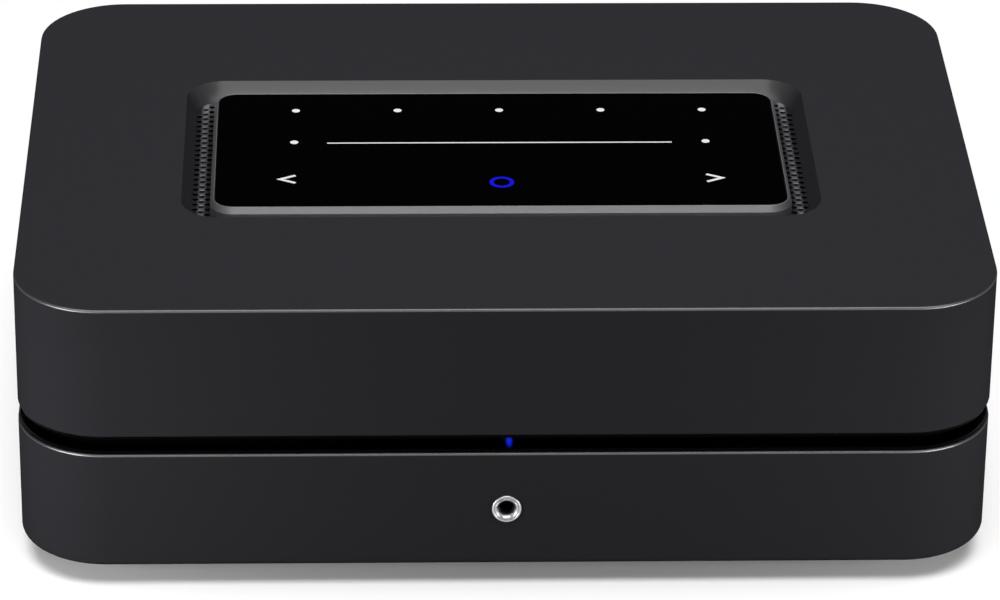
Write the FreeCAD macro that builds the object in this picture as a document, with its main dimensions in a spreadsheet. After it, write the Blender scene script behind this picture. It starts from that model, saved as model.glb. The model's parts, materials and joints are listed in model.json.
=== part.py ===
import FreeCAD, Part
import math
import os
import re
import Sketcher

# A compact streaming amplifier: two moulded half shells held apart by a recessed
# waist band, a sunk well in the roof with a bevelled glass touch island and a
# perforated vent floor, a headphone socket in front, and sockets and screw-down
# speaker terminals behind. +Z is up, the front faces -Y, and the origin lies on
# the floor under the middle of the whole object. Lengths are in millimetres.

SIZES = [
    ("case_width", 220.0, "both shells, side to side"),
    ("case_depth", 165.0, "both shells, front to back"),
    ("case_corner", 20.0, "upright corner radius of the shells"),
    ("case_wall", 2.5, "side wall of the shells"),
    ("floor_thick", 2.5, "base plate that closes the lower shell"),
    ("floor_gap", 0.1, "clearance round the base plate"),
    ("ledge_width", 3.0, "ledge of the lower shell over the base plate"),
    ("ledge_thick", 1.5, "ledge of the lower shell over the base plate"),
    ("roof_thick", 2.5, "roof of the upper shell"),
    ("foot_clear", 5.0, "air under the lower shell"),
    ("lower_height", 28.7, "lower shell, underside to rim"),
    ("groove_height", 4.5, "black gap between the two rims"),
    ("upper_height", 31.8, "upper shell, rim to roof"),
    ("rim_round", 0.5, "rounding of both rims at the groove"),
    ("roof_round", 0.6, "rounding round the roof"),
    ("base_round", 1.4, "rounding round the underside"),
    ("band_inset", 4.0, "depth of the groove"),
    ("band_web", 2.0, "wall of the waist band"),
    ("band_rim", 0.6, "shell rim left bare outside the band's flanges"),
    ("band_flange", 0.8, "thickness of the band's flanges"),
    ("well_width", 147.0, "well in the roof, at its upper edge, side to side"),
    ("well_length", 73.6, "well in the roof, at its upper edge, front to back"),
    ("well_corner", 9.0, "corner radius of the well's upper edge"),
    ("well_slope", 2.2, "how far the well's walls lean inwards"),
    ("well_drop", 4.5, "depth of the well"),
    ("well_wall", 2.5, "rim of the well under the roof"),
    ("grille_thick", 1.0, "perforated sheet that is the well's floor"),
    ("grille_hole", 0.62, "corner radius of one six-sided vent hole"),
    ("grille_pitch", 2.62, "vent holes, from row to row"),
    ("grille_column", 1.45, "vent holes, from column to column"),
    ("grille_edge", 0.1, "from a vent hole to the foot of the well's wall"),
    ("grille_slot_width", 60.0, "cable opening in the sheet, side to side"),
    ("grille_slot_length", 30.0, "cable opening in the sheet, front to back"),
    ("grille_slot_corner", 3.0, "corner radius of the cable opening"),
    ("grille_screw_radius", 1.0, "screws that hold the sheet"),
    ("grille_screw_length", 3.6, "shank of those screws"),
    ("grille_head_radius", 1.8, "heads of those screws"),
    ("grille_head_height", 1.3, "heads of those screws"),
    ("grille_screw_out", 0.5, "screw centres outside the well's upper edge"),
    ("grille_screw_side", 24.0, "side screws from the middle"),
    ("glass_width", 131.8, "touch glass, side to side"),
    ("glass_length", 60.4, "touch glass, front to back"),
    ("glass_corner", 4.4, "corner radius of the touch glass"),
    ("glass_thick", 1.8, "touch glass"),
    ("glass_sink", 0.4, "glass below the roof"),
    ("glass_proud", 0.1, "glass above the bevel"),
    ("glass_gap", 0.1, "clearance round the glass"),
    ("glass_chamfer", 0.25, "ground edge of the glass"),
    ("bevel_land", 0.15, "flat rim between glass and bevel"),
    ("bevel_width", 0.8, "bevel round the glass, seen from above"),
    ("bevel_drop", 1.45, "fall of the bevel"),
    ("bezel_shelf", 2.0, "ledge under the edge of the glass"),
    ("guide_thick", 0.9, "light guide under the glass"),
    ("touch_board_thick", 1.1, "touch sensing board"),
    ("stack_gap", 0.2, "clearance round the light guide and its board"),
    ("ribbon_width", 12.0, "flat cable from the touch board"),
    ("ribbon_thick", 0.3, "flat cable from the touch board"),
    ("ribbon_in", 9.5, "flat cable's lower end behind the main board's front edge"),
    ("ribbon_fall", 16.0, "straight and slanted runs of the flat cable"),
    ("ribbon_connector_height", 2.0, "flat cable's connector on the main board"),
    ("post_side", 18.0, "screw posts from the case's sides"),
    ("post_end", 20.5, "screw posts from the case's front and back"),
    ("post_radius", 4.5, "screw posts"),
    ("case_screw_radius", 1.5, "long case screws"),
    ("case_screw_length", 37.0, "shank of the long case screws"),
    ("case_head_radius", 2.9, "heads of the long case screws"),
    ("case_head_height", 2.2, "heads of the long case screws"),
    ("head_well_depth", 6.0, "underside to the seat of a case screw"),
    ("screw_gap", 0.1, "radial clearance round every screw"),
    ("foot_radius", 9.0, "rubber feet"),
    ("foot_seat", 1.0, "feet let into the underside"),
    ("foot_gap", 0.1, "clearance round a foot in its seat"),
    ("slot_width", 2.4, "air slots in the floor"),
    ("slot_length", 30.0, "air slots in the floor"),
    ("slot_pitch", 7.0, "air slots in the floor"),
    ("opening_side", 25.0, "rear opening from the case's sides"),
    ("opening_low", 1.0, "rear opening above the inner floor"),
    ("opening_high", 3.0, "rear opening below the lower rim"),
    ("opening_corner", 3.0, "corner radius of the rear opening"),
    ("panel_lap", 3.0, "rear panel behind the wall at each side"),
    ("panel_top_lap", 2.0, "rear panel behind the wall above"),
    ("panel_thick", 2.0, "rear panel"),
    ("panel_seam", 0.2, "seam between the two plates of the rear panel"),
    ("panel_rib", 1.5, "rib behind the rear panel"),
    ("panel_rib_height", 3.0, "rib behind the rear panel"),
    ("socket_gap", 0.2, "clearance round each socket in the panel"),
    ("socket_space", 1.6, "between neighbouring sockets"),
    ("standoff", 3.6, "bosses under the boards"),
    ("boss_radius", 3.0, "bosses under the boards"),
    ("board_thick", 1.6, "printed boards"),
    ("board_screw_radius", 1.25, "board screws"),
    ("board_screw_length", 4.6, "board screws below the head"),
    ("board_head_radius", 2.5, "board screw heads"),
    ("board_head_height", 1.8, "board screw heads"),
    ("board_edge", 4.0, "board screws from the board's edge"),
    ("main_side", 1.5, "main board past the network socket"),
    ("main_past", 5.0, "main board past the television sound socket"),
    ("main_length", 60.0, "main board"),
    ("main_rear_gap", 0.6, "main board to rear panel"),
    ("main_screw_rear", 27.0, "rear screws of the main board from its rear edge"),
    ("power_side", 28.0, "power board from the case's left side"),
    ("power_front", 12.5, "power board from the case's front"),
    ("power_width", 50.0, "power board"),
    ("power_length", 68.0, "power board"),
    ("drive_side", 28.0, "amplifier board from the case's right side"),
    ("drive_front", 16.5, "amplifier board from the case's front"),
    ("drive_width", 54.0, "amplifier board"),
    ("drive_length", 106.0, "amplifier board"),
    ("jack_height", 19.56, "headphone socket's axis above the floor"),
    ("jack_bore", 1.8, "radius of a headphone plug's hole"),
    ("jack_depth", 12.0, "depth of a headphone plug's hole"),
    ("jack_width", 8.0, "body of a headphone socket"),
    ("jack_tall", 6.4, "body of a headphone socket"),
    ("jack_length", 14.0, "body of a headphone socket"),
    ("jack_above", 0.5, "rear headphone-sized socket above the main board"),
    ("jack_neck", 2.9, "radius of a socket's neck"),
    ("ring_radius", 3.35, "chrome ring of the headphone socket"),
    ("ring_bore", 1.8, "hole of the chrome ring"),
    ("ring_proud", 0.5, "chrome ring in front of the case"),
    ("ring_chamfer", 0.2, "outer edge of the chrome ring"),
    ("ring_mouth", 2.15, "radius of the chrome ring's mouth"),
    ("ring_sink", 0.6, "depth of the chrome ring's mouth"),
    ("ring_groove", 2.5, "inner radius of the groove in the chrome ring"),
    ("ring_groove_width", 0.3, "groove in the chrome ring"),
    ("ring_groove_depth", 0.25, "groove in the chrome ring"),
    ("front_width", 30.0, "front board"),
    ("front_length", 23.4, "front board"),
    ("front_wall_gap", 0.6, "front board behind the front wall"),
    ("front_screw_x", 11.0, "front board screws from the middle"),
    ("pipe_width", 2.0, "light pipe, side to side"),
    ("pipe_tall", 1.6, "light pipe, thickness"),
    ("pipe_above", 0.1, "light pipe above the lower flange"),
    ("pipe_proud", 0.2, "light pipe in front of the web"),
    ("pipe_reach", 17.3, "light pipe, front end to its bend"),
    ("pipe_gap", 0.1, "clearance round the light pipe"),
    ("lamp_height", 0.8, "status lamp on the front board"),
    ("block_edge", 1.5, "terminal block from the rear opening's side"),
    ("block_width", 54.0, "terminal block"),
    ("block_height", 18.0, "terminal block"),
    ("block_thick", 2.0, "terminal block on the rear panel"),
    ("block_corner", 2.0, "corner radius of the terminal block"),
    ("bush_radius", 4.4, "corner radius of the six-sided bushes through the rear panel"),
    ("bush_past", 0.4, "bushes past the rear panel's inner face"),
    ("collar_radius", 4.0, "corner radius of a terminal stud's six-sided collar"),
    ("collar_thick", 1.0, "collar of a terminal stud"),
    ("post_pitch", 13.5, "speaker terminals, from one to the next"),
    ("stud_radius", 2.9, "terminal stud"),
    ("stud_out", 15.0, "terminal stud outside the panel"),
    ("stud_in", 9.0, "terminal stud inside the panel"),
    ("plug_bore", 2.0, "radius of the hole for a 4 mm plug"),
    ("plug_depth", 10.0, "depth of the hole for a 4 mm plug"),
    ("wire_hole", 1.1, "radius of the cross hole for bare wire"),
    ("wire_hole_out", 1.6, "cross hole's axis outside the block"),
    ("thread_gap", 0.05, "running clearance on a stud"),
    ("seat_gap", 0.3, "washer to block and cap to washer"),
    ("washer_radius", 5.0, "clamp washer"),
    ("washer_thick", 1.8, "clamp washer"),
    ("cap_radius", 5.5, "terminal cap"),
    ("cap_length", 12.6, "terminal cap"),
    ("cap_lip", 1.7, "outer lip of a terminal cap"),
    ("cap_mouth", 2.3, "radius of the hole in the lip"),
    ("cap_chamfer", 0.8, "outer edge of a terminal cap"),
    ("flute_depth", 0.7, "grip flutes of a cap"),
    ("flute_width", 1.5, "grip flutes of a cap"),
    ("flute_start", 2.0, "plain band of a cap before its flutes"),
    ("nut_radius", 5.0, "corner radius of a terminal's hexagon nut"),
    ("nut_thick", 2.4, "terminal's hexagon nut"),
    ("inlet_edge", 10.5, "mains inlet from the rear opening's side"),
    ("inlet_flange_width", 20.4, "mains inlet flange"),
    ("inlet_flange_height", 12.6, "mains inlet flange"),
    ("inlet_flange_thick", 1.6, "mains inlet flange"),
    ("inlet_width", 18.0, "mains inlet housing"),
    ("inlet_tall", 10.8, "mains inlet housing"),
    ("inlet_length", 15.0, "mains inlet housing behind the panel"),
    ("inlet_mouth_width", 15.4, "mains inlet cavity"),
    ("inlet_mouth_height", 8.6, "mains inlet cavity"),
    ("inlet_mouth_corner", 4.0, "mains inlet cavity"),
    ("inlet_mouth_depth", 13.0, "mains inlet cavity"),
    ("pin_radius", 1.18, "mains pins"),
    ("pin_pitch", 8.6, "mains pins, centre to centre"),
    ("pin_length", 9.0, "mains pins inside the cavity"),
    ("pin_tail", 5.0, "mains pins behind the housing"),
    ("network_width", 16.0, "network socket"),
    ("network_tall", 13.5, "network socket"),
    ("network_length", 21.0, "network socket"),
    ("network_proud", 0.4, "network socket outside the panel"),
    ("network_mouth_width", 11.9, "network socket cavity"),
    ("network_mouth_height", 7.0, "network socket cavity"),
    ("network_mouth_depth", 14.0, "network socket cavity"),
    ("network_mouth_low", 3.8, "network socket cavity above the board"),
    ("network_latch_width", 6.2, "latch slot of the network socket"),
    ("network_latch_height", 1.8, "latch slot of the network socket"),
    ("contact_width", 0.45, "network socket's spring contacts"),
    ("contact_pitch", 1.02, "network socket's spring contacts"),
    ("contact_out", 3.0, "spring contacts behind the socket's face"),
    ("contact_drop", 1.6, "spring contacts below the cavity's top"),
    ("data_width", 13.1, "flat data socket"),
    ("data_tall", 5.7, "flat data socket"),
    ("data_length", 14.0, "flat data socket"),
    ("data_sheet", 0.35, "sheet metal of the flat data socket"),
    ("data_above", 0.9, "flat data socket above the board"),
    ("data_proud", 0.5, "flat data socket outside the panel"),
    ("data_tongue_thick", 1.8, "tongue of the flat data socket"),
    ("data_tongue_side", 0.7, "tongue from the shell's sides"),
    ("data_tongue_back", 1.5, "tongue behind the socket's mouth"),
    ("video_width", 15.0, "television sound socket"),
    ("video_tall", 5.6, "television sound socket"),
    ("video_length", 11.5, "television sound socket"),
    ("video_sheet", 0.4, "sheet metal of the television sound socket"),
    ("video_above", 0.6, "television sound socket above the board"),
    ("video_proud", 0.5, "television sound socket outside the panel"),
    ("video_taper", 1.8, "slanted lower corners of that socket"),
    ("video_tongue_thick", 1.1, "tongue of that socket"),
    ("video_tongue_side", 1.3, "tongue from the shell's sides"),
    ("video_tongue_back", 1.2, "tongue behind the socket's mouth"),
    ("neck_proud", 0.6, "necks of the small round sockets outside the panel"),
    ("phono_radius", 4.15, "outside of the subwoofer socket"),
    ("phono_wall", 0.45, "tube of the subwoofer socket"),
    ("phono_reach", 10.0, "subwoofer socket outside the panel"),
    ("phono_flange", 5.4, "flange of the subwoofer socket"),
    ("phono_flange_thick", 2.0, "flange of the subwoofer socket"),
    ("phono_neck", 3.4, "neck of the subwoofer socket through the panel"),
    ("phono_tail", 6.0, "neck of the subwoofer socket behind the panel"),
    ("phono_core_sink", 1.0, "white core behind the tube's end"),
    ("phono_bore", 1.65, "centre contact of the subwoofer socket"),
    ("phono_bore_depth", 6.0, "centre contact of the subwoofer socket"),
    ("chip_width", 14.0, "amplifier chips"),
    ("chip_length", 16.0, "amplifier chips"),
    ("chip_thick", 2.4, "amplifier chips"),
    ("chip_spread", 32.0, "amplifier chips, centre to centre"),
    ("sink_width", 46.0, "heat sink"),
    ("sink_length", 62.0, "heat sink"),
    ("sink_base", 3.0, "base of the heat sink"),
    ("sink_fin", 1.6, "fins of the heat sink"),
    ("sink_fin_height", 20.0, "fins of the heat sink"),
    ("sink_pitch", 6.34, "fins of the heat sink"),
    ("coil_size", 12.0, "output filter coils"),
    ("coil_tall", 9.0, "output filter coils"),
    ("coil_pitch", 13.2, "output filter coils"),
    ("coil_back", 12.0, "output filter coils from the board's rear edge"),
    ("lead_back", 9.0, "speaker leads from the amplifier board's rear edge"),
    ("core_width", 32.0, "transformer core"),
    ("core_length", 12.0, "transformer core"),
    ("core_tall", 28.0, "transformer core"),
    ("core_arm", 5.0, "limbs of the transformer core"),
    ("winding_length", 24.0, "transformer winding"),
    ("winding_gap", 0.3, "winding clear of the core's limbs"),
    ("can_radius", 9.0, "reservoir capacitors"),
    ("can_tall", 30.0, "reservoir capacitors"),
    ("choke_radius", 10.0, "mains choke"),
    ("choke_eye", 3.8, "radius of the mains choke's eye"),
    ("choke_tall", 7.0, "mains choke"),
    ("module_width", 36.0, "streaming module"),
    ("module_length", 28.0, "streaming module"),
    ("module_board", 1.0, "streaming module's own board"),
    ("shield_inset", 2.0, "shield can from the module's edges"),
    ("shield_tall", 2.6, "shield can"),
    ("aerial_length", 34.0, "radio aerials"),
    ("aerial_tall", 9.0, "radio aerials"),
    ("aerial_thick", 0.8, "radio aerials"),
    ("aerial_height", 12.0, "radio aerials above the upper rim"),
    ("aerial_y", 25.0, "radio aerials, middle, behind the case's middle"),
    ("lead_radius", 1.0, "insulated speaker leads"),
    ("lead_bend", 5.0, "bend of the speaker leads"),
    ("mains_lead_radius", 1.1, "insulated mains leads"),
]

doc = FreeCAD.newDocument("streaming_amplifier")
sheet = doc.addObject("Spreadsheet::Sheet", "Sizes")
for row, (alias, amount, meaning) in enumerate(SIZES, 1):
    sheet.set(f"A{row}", alias)
    sheet.set(f"B{row}", str(amount))
    sheet.set(f"C{row}", meaning)
    sheet.setAlias(f"B{row}", alias)
doc.recompute()

ALIASES = {alias for alias, amount, meaning in SIZES}
X_AXIS = FreeCAD.Vector(1, 0, 0)
Y_AXIS = FreeCAD.Vector(0, 1, 0)
Z_AXIS = FreeCAD.Vector(0, 0, 1)
TURN = {
    "x": FreeCAD.Rotation(Y_AXIS, 90),
    "y": FreeCAD.Rotation(X_AXIS, -90),
    "z": FreeCAD.Rotation(),
}

# Places shared by many pieces, as formulas of the sheet's sizes.
CAP_REACH = "(block_thick + 2 * seat_gap + washer_thick + cap_length - case_wall)"
MIDDLE = f"((ring_proud - {CAP_REACH}) / 2)"
FRONT = f"({MIDDLE} - case_depth / 2)"
REAR = f"({MIDDLE} + case_depth / 2)"
PANEL = f"({REAR} - case_wall)"
INNER_FLOOR = "(foot_clear + floor_thick)"
LOWER_RIM = "(foot_clear + lower_height)"
UPPER_RIM = f"({LOWER_RIM} + groove_height)"
ROOF = f"({UPPER_RIM} + upper_height)"
WELL_FLOOR = f"({ROOF} - well_drop)"
BOARD_LOW = f"({INNER_FLOOR} + standoff)"
BOARD_TOP = f"({BOARD_LOW} + board_thick)"
POST_X = "(case_width / 2 - post_side)"
POST_Y = "(case_depth / 2 - post_end)"
OPENING_HALF = "(case_width / 2 - opening_side)"
SOCKET_MID = f"(({INNER_FLOOR} + opening_low + {LOWER_RIM} - opening_high) / 2)"
REAR_JACK_MID = f"({BOARD_TOP} + jack_above + jack_tall / 2)"
INLET_X = f"(inlet_edge - {OPENING_HALF})"
NETWORK_X = f"({INLET_X} + inlet_flange_width / 2 + socket_space + network_width / 2)"
DATA_X = f"({NETWORK_X} + network_width / 2 + socket_space + data_width / 2)"
AUDIO_X = f"({DATA_X} + data_width / 2 + socket_space + jack_width / 2)"
BLOCK_X = f"({OPENING_HALF} - block_edge - block_width / 2)"
PHONO_X = f"({BLOCK_X} - block_width / 2 - socket_space - phono_flange)"
VIDEO_X = f"({PHONO_X} - phono_flange - socket_space - video_width / 2)"
MAIN_LEFT = f"({NETWORK_X} - network_width / 2 - main_side)"
MAIN_RIGHT = f"({VIDEO_X} + video_width / 2 + main_past)"
MAIN_X = f"(({MAIN_LEFT} + {MAIN_RIGHT}) / 2)"
MAIN_WIDTH = f"({MAIN_RIGHT} - {MAIN_LEFT})"
MAIN_REAR = f"({PANEL} - panel_thick - main_rear_gap)"
MAIN_Y = f"({MAIN_REAR} - main_length / 2)"
RIBBON_END = f"({MAIN_Y} - {MIDDLE} - main_length / 2 + ribbon_in)"
POWER_X = "(power_side + power_width / 2 - case_width / 2)"
POWER_Y = "(power_front + power_length / 2 - case_depth / 2)"
DRIVE_X = "(case_width / 2 - drive_side - drive_width / 2)"
DRIVE_Y = "(drive_front + drive_length / 2 - case_depth / 2)"
FRONT_BOARD_TOP = "(jack_height - jack_tall / 2)"
FRONT_BOARD_LOW = f"({FRONT_BOARD_TOP} - board_thick)"
FRONT_BOARD_EDGE = f"({FRONT} + case_wall + front_wall_gap)"
FRONT_BOARD_Y = f"({FRONT_BOARD_EDGE} + front_length / 2)"
PIPE_FRONT = f"({FRONT} + band_inset - pipe_proud)"
PIPE_LOW = f"({LOWER_RIM} + band_flange + pipe_above)"
BEZEL_SIDE = "(well_drop - glass_sink - glass_proud - bevel_drop)"
ISLAND_EDGE = "(glass_gap + bevel_land + bevel_width)"
POST_CORNERS = [(sx, sy) for sx in (-1, 1) for sy in (-1, 1)]
POST_NUMBERS = (1, 2, 3, 4)


def formula(text):
    """Put the sheet's name before each alias in a formula."""
    return re.sub(r"[a-z_]+", lambda word: f"Sizes.{word.group()}" if word.group() in ALIASES
                  else word.group(), str(text))


def amount_of(sum_text):
    return FreeCAD.Units.Quantity(sum_text.replace("--", "+").replace("+-", "-")).Value


def number(text):
    """Work a formula out from the sheet's cells, its innermost brackets first."""
    plain = re.sub(r"[a-z_]+", lambda word: str(sheet.get(word.group())), str(text)).replace(" ", "")
    while "(" in plain:
        plain = re.sub(r"\(([^()]*)\)", lambda inner: f"{amount_of(inner.group(1)):.9f}", plain)
    return amount_of(plain)


def bind(thing, **formulas):
    """Tie properties to the sheet."""
    for name, text in formulas.items():
        thing.setExpression(name, formula(text))
    return thing


def place(thing, x, y, z, turn="z"):
    """Tie a thing's place to the sheet."""
    thing.Placement = FreeCAD.Placement(FreeCAD.Vector(), TURN[turn])
    for name, text in (("x", x), ("y", y), ("z", z)):
        thing.setExpression(f"Placement.Base.{name}", formula(text))
    return thing


pieces = []


def keep(thing, label):
    """Take a finished object as a sub-part with a name of its own."""
    thing.Label = label
    pieces.append(thing)
    return thing


def block(name, x, y, z):
    """A box between pairs of low and high formulas."""
    box = place(doc.addObject("Part::Box", name), x[0], y[0], z[0])
    return bind(box, Length=f"({x[1]}) - ({x[0]})", Width=f"({y[1]}) - ({y[0]})",
                Height=f"({z[1]}) - ({z[0]})")


def centred(name, x, width, y, z):
    """A box centred on x."""
    return block(name, (f"{x} - ({width}) / 2", f"{x} + ({width}) / 2"), y, z)


def rod(name, axis, radius, length, x, y, z):
    """A cylinder that starts at a point and runs along an axis."""
    cylinder = place(doc.addObject("Part::Cylinder", name), x, y, z, axis)
    return bind(cylinder, Radius=radius, Height=length)


def fuse(name, parts):
    joined = doc.addObject("Part::MultiFuse", name)
    joined.Shapes = parts
    return joined


def group(name, parts):
    """Separate solids of one sub-part."""
    gathered = doc.addObject("Part::Compound", name)
    gathered.Links = parts
    return gathered


def cut(name, base, tools):
    """Take one or more tools away from a base."""
    taken = doc.addObject("Part::Cut", name)
    taken.Base = base
    taken.Tool = tools[0] if len(tools) == 1 else fuse(f"{name}_tools", tools)
    return taken


def start_body(label, x="0", y=MIDDLE, z="0"):
    """A body whose own origin lies at a named place."""
    return keep(place(doc.addObject("PartDesign::Body", label), x, y, z), label)


def sketch_on(body, name, plane="XY", level="0"):
    """A sketch on one of the body's planes, or parallel to it at a level."""
    sketch = body.newObject("Sketcher::SketchObject", f"{body.Name}_{name}")
    base = [feature for feature in body.Origin.OriginFeatures if feature.Role == f"{plane}_Plane"]
    sketch.AttachmentSupport = [(base[0], "")]
    sketch.MapMode = "FlatFace"
    sign = "-" if plane == "XZ" else ""
    sketch.setExpression("AttachmentOffset.Base.z", formula(f"{sign}({level})"))
    return sketch


def measure(sketch, kind, text, *where):
    """Add one dimension to a sketch and tie it to the sheet."""
    index = sketch.addConstraint(Sketcher.Constraint(kind, *where, number(text)))
    sketch.setExpression(f"Constraints[{index}]", formula(text))


def pin_point(sketch, geometry, end, x, y):
    """Fix a point of a sketch at a pair of formulas."""
    measure(sketch, "DistanceX", x, -1, 1, geometry, end)
    measure(sketch, "DistanceY", y, -1, 1, geometry, end)


def polygon(sketch, points):
    """A closed outline with straight sides."""
    corners = [FreeCAD.Vector(number(x), number(y), 0) for x, y in points]
    first = len(sketch.Geometry)
    count = len(corners)
    for index in range(count):
        sketch.addGeometry(Part.LineSegment(corners[index], corners[(index + 1) % count]))
    for index in range(count):
        following = first + (index + 1) % count
        sketch.addConstraint(Sketcher.Constraint("Coincident", first + index, 2, following, 1))
        pin_point(sketch, first + index, 1, *points[index])
    return sketch


def rectangle(sketch, width, height, x="0", y="0"):
    left, right = f"({x}) - ({width}) / 2", f"({x}) + ({width}) / 2"
    low, high = f"({y}) - ({height}) / 2", f"({y}) + ({height}) / 2"
    return polygon(sketch, [(left, low), (right, low), (right, high), (left, high)])


def rounded(sketch, width, height, corner, x="0", y="0"):
    """A rectangle with four round corners, centred on a point."""
    mid_x, mid_y, radius = number(x), number(y), number(corner)
    half_x, half_y = number(width) / 2, number(height) / 2
    first = len(sketch.Geometry)
    for quarter in range(4):
        angle = quarter * math.pi / 2
        turned = quarter % 2
        reach, side = (half_x, half_y) if turned else (half_y, half_x)
        normal = FreeCAD.Vector(math.sin(angle), -math.cos(angle), 0)
        along = FreeCAD.Vector(math.cos(angle), math.sin(angle), 0)
        middle = FreeCAD.Vector(mid_x, mid_y, 0) + normal * reach
        start = middle - along * (side - radius)
        stop = middle + along * (side - radius)
        centre = stop - normal * radius
        circle = Part.Circle(centre, Z_AXIS, radius)
        sketch.addGeometry(Part.LineSegment(start, stop))
        sketch.addGeometry(Part.ArcOfCircle(circle, angle - math.pi / 2, angle))
    for quarter in range(4):
        line, arc = first + 2 * quarter, first + 2 * quarter + 1
        following = first + (2 * quarter + 2) % 8
        sketch.addConstraint(Sketcher.Constraint("Tangent", line, 2, arc, 1))
        sketch.addConstraint(Sketcher.Constraint("Tangent", arc, 2, following, 1))
        sketch.addConstraint(Sketcher.Constraint("Vertical" if quarter % 2 else "Horizontal", line))
        if quarter:
            sketch.addConstraint(Sketcher.Constraint("Equal", first + 1, arc))
    measure(sketch, "Radius", corner, first + 1)
    measure(sketch, "DistanceY", f"({y}) - ({height}) / 2", -1, 1, first, 1)
    measure(sketch, "DistanceX", f"({x}) + ({width}) / 2", -1, 1, first + 2, 1)
    measure(sketch, "DistanceY", f"({y}) + ({height}) / 2", -1, 1, first + 4, 1)
    measure(sketch, "DistanceX", f"({x}) - ({width}) / 2", -1, 1, first + 6, 1)
    return sketch


def circle(sketch, radius, x="0", y="0"):
    centre = FreeCAD.Vector(number(x), number(y), 0)
    index = sketch.addGeometry(Part.Circle(centre, Z_AXIS, number(radius)))
    pin_point(sketch, index, 3, x, y)
    measure(sketch, "Radius", radius, index)
    return sketch


def six_sided(sketch, radius, x="0", y="0"):
    """A hexagon with its corners on a circle round a point."""
    points = []
    for turn in range(6):
        across, up = math.cos(turn * math.pi / 3), math.sin(turn * math.pi / 3)
        points.append((f"{x} {'-' if across < 0 else '+'} ({radius}) * {abs(across):.6f}",
                       f"{y} {'-' if up < 0 else '+'} ({radius}) * {abs(up):.6f}"))
    return polygon(sketch, points)


def pad(body, sketch, length, reverse=False, both=False):
    feature = body.newObject("PartDesign::Pad", f"{sketch.Name}_pad")
    feature.Profile = sketch
    feature.Reversed = reverse
    if both:
        feature.SideType = "Symmetric"
    return bind(feature, Length=length)


def pocket(body, sketch, length, reverse=False):
    """Cut against the sketch's normal, or along it when reversed."""
    feature = body.newObject("PartDesign::Pocket", f"{sketch.Name}_pocket")
    feature.Profile = sketch
    feature.Reversed = reverse
    return bind(feature, Length=length)


def revolve(body, sketch):
    """Turn a profile once round its own upright axis."""
    feature = body.newObject("PartDesign::Revolution", f"{sketch.Name}_turn")
    feature.Profile = sketch
    feature.ReferenceAxis = (sketch, ["V_Axis"])
    feature.Angle = 360
    return feature


def loft(body, kind, first, last):
    feature = body.newObject(f"PartDesign::{kind}Loft", f"{first.Name}_loft")
    feature.Profile = first
    feature.Sections = [last]
    feature.Ruled = True
    return feature


def row_of(body, feature, sketch, axis, pitch, count):
    """Repeat a feature at an even pitch."""
    pattern = body.newObject("PartDesign::LinearPattern", f"{feature.Name}_row")
    pattern.Originals = [feature]
    pattern.Direction = (sketch, [axis])
    pattern.Mode = "Spacing"
    pattern.Occurrences = count
    bind(pattern, Offset=pitch)
    body.Tip = pattern
    return pattern


def ring_of(body, feature, sketch, count):
    """Repeat a feature round the upright axis of a sketch."""
    pattern = body.newObject("PartDesign::PolarPattern", f"{feature.Name}_ring")
    pattern.Originals = [feature]
    pattern.Axis = (sketch, ["V_Axis"])
    pattern.Angle = 360
    pattern.Occurrences = count
    body.Tip = pattern
    return pattern


def edges_at(shape, height):
    """Names of the edges that lie flat at one height."""
    return [f"Edge{index}" for index, edge in enumerate(shape.Edges, 1)
            if abs(edge.BoundBox.ZMin - height) < 1e-6 and abs(edge.BoundBox.ZMax - height) < 1e-6]


def soften(body, base, height, radius, kind="Fillet"):
    """Round or chamfer the outline of a prism at one height."""
    doc.recompute()
    feature = body.newObject(f"PartDesign::{kind}", f"{base.Name}_{kind.lower()}")
    feature.Base = (base, edges_at(base.Shape, number(height)))
    return bind(feature, **{"Radius" if kind == "Fillet" else "Size": radius})


def make_top_shell():
    """Upper shell: a moulded lid, its well and its four screw posts."""
    body = start_body("top_shell", z=UPPER_RIM)
    outline = rounded(sketch_on(body, "outline"), "case_width", "case_depth", "case_corner")
    solid = pad(body, outline, "upper_height")
    solid = soften(body, solid, "0", "rim_round")
    soften(body, solid, "upper_height", "roof_round")
    inside = rounded(sketch_on(body, "inside"), "case_width - 2 * case_wall",
                     "case_depth - 2 * case_wall", "case_corner - case_wall")
    pocket(body, inside, "upper_height - roof_thick", reverse=True)
    rim = rounded(sketch_on(body, "well_rim", level="upper_height - well_drop"),
                  "well_width + 2 * well_wall", "well_length + 2 * well_wall", "well_corner + well_wall")
    pad(body, rim, "well_drop - roof_thick / 2")
    upper = rounded(sketch_on(body, "well_upper", level="upper_height"),
                    "well_width", "well_length", "well_corner")
    lower = rounded(sketch_on(body, "well_lower", level="upper_height - well_drop"),
                    "well_width - 2 * well_slope", "well_length - 2 * well_slope", "well_corner - well_slope")
    loft(body, "Subtractive", upper, lower)
    posts = sketch_on(body, "posts")
    holes = sketch_on(body, "post_holes")
    for sx, sy in POST_CORNERS:
        circle(posts, "post_radius", f"{sx} * {POST_X}", f"{sy} * {POST_Y}")
        six_sided(holes, "case_screw_radius + screw_gap", f"{sx} * {POST_X}", f"{sy} * {POST_Y}")
    pad(body, posts, "upper_height - roof_thick / 2")
    pocket(body, holes, "case_screw_length / 2", reverse=True)
    pilots = sketch_on(body, "grille_pilots", level="upper_height - well_drop")
    for x, y in grille_screw_places():
        six_sided(pilots, "grille_screw_radius + screw_gap", x, y)
    pocket(body, pilots, "grille_screw_length - grille_thick + screw_gap", reverse=True)


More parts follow.
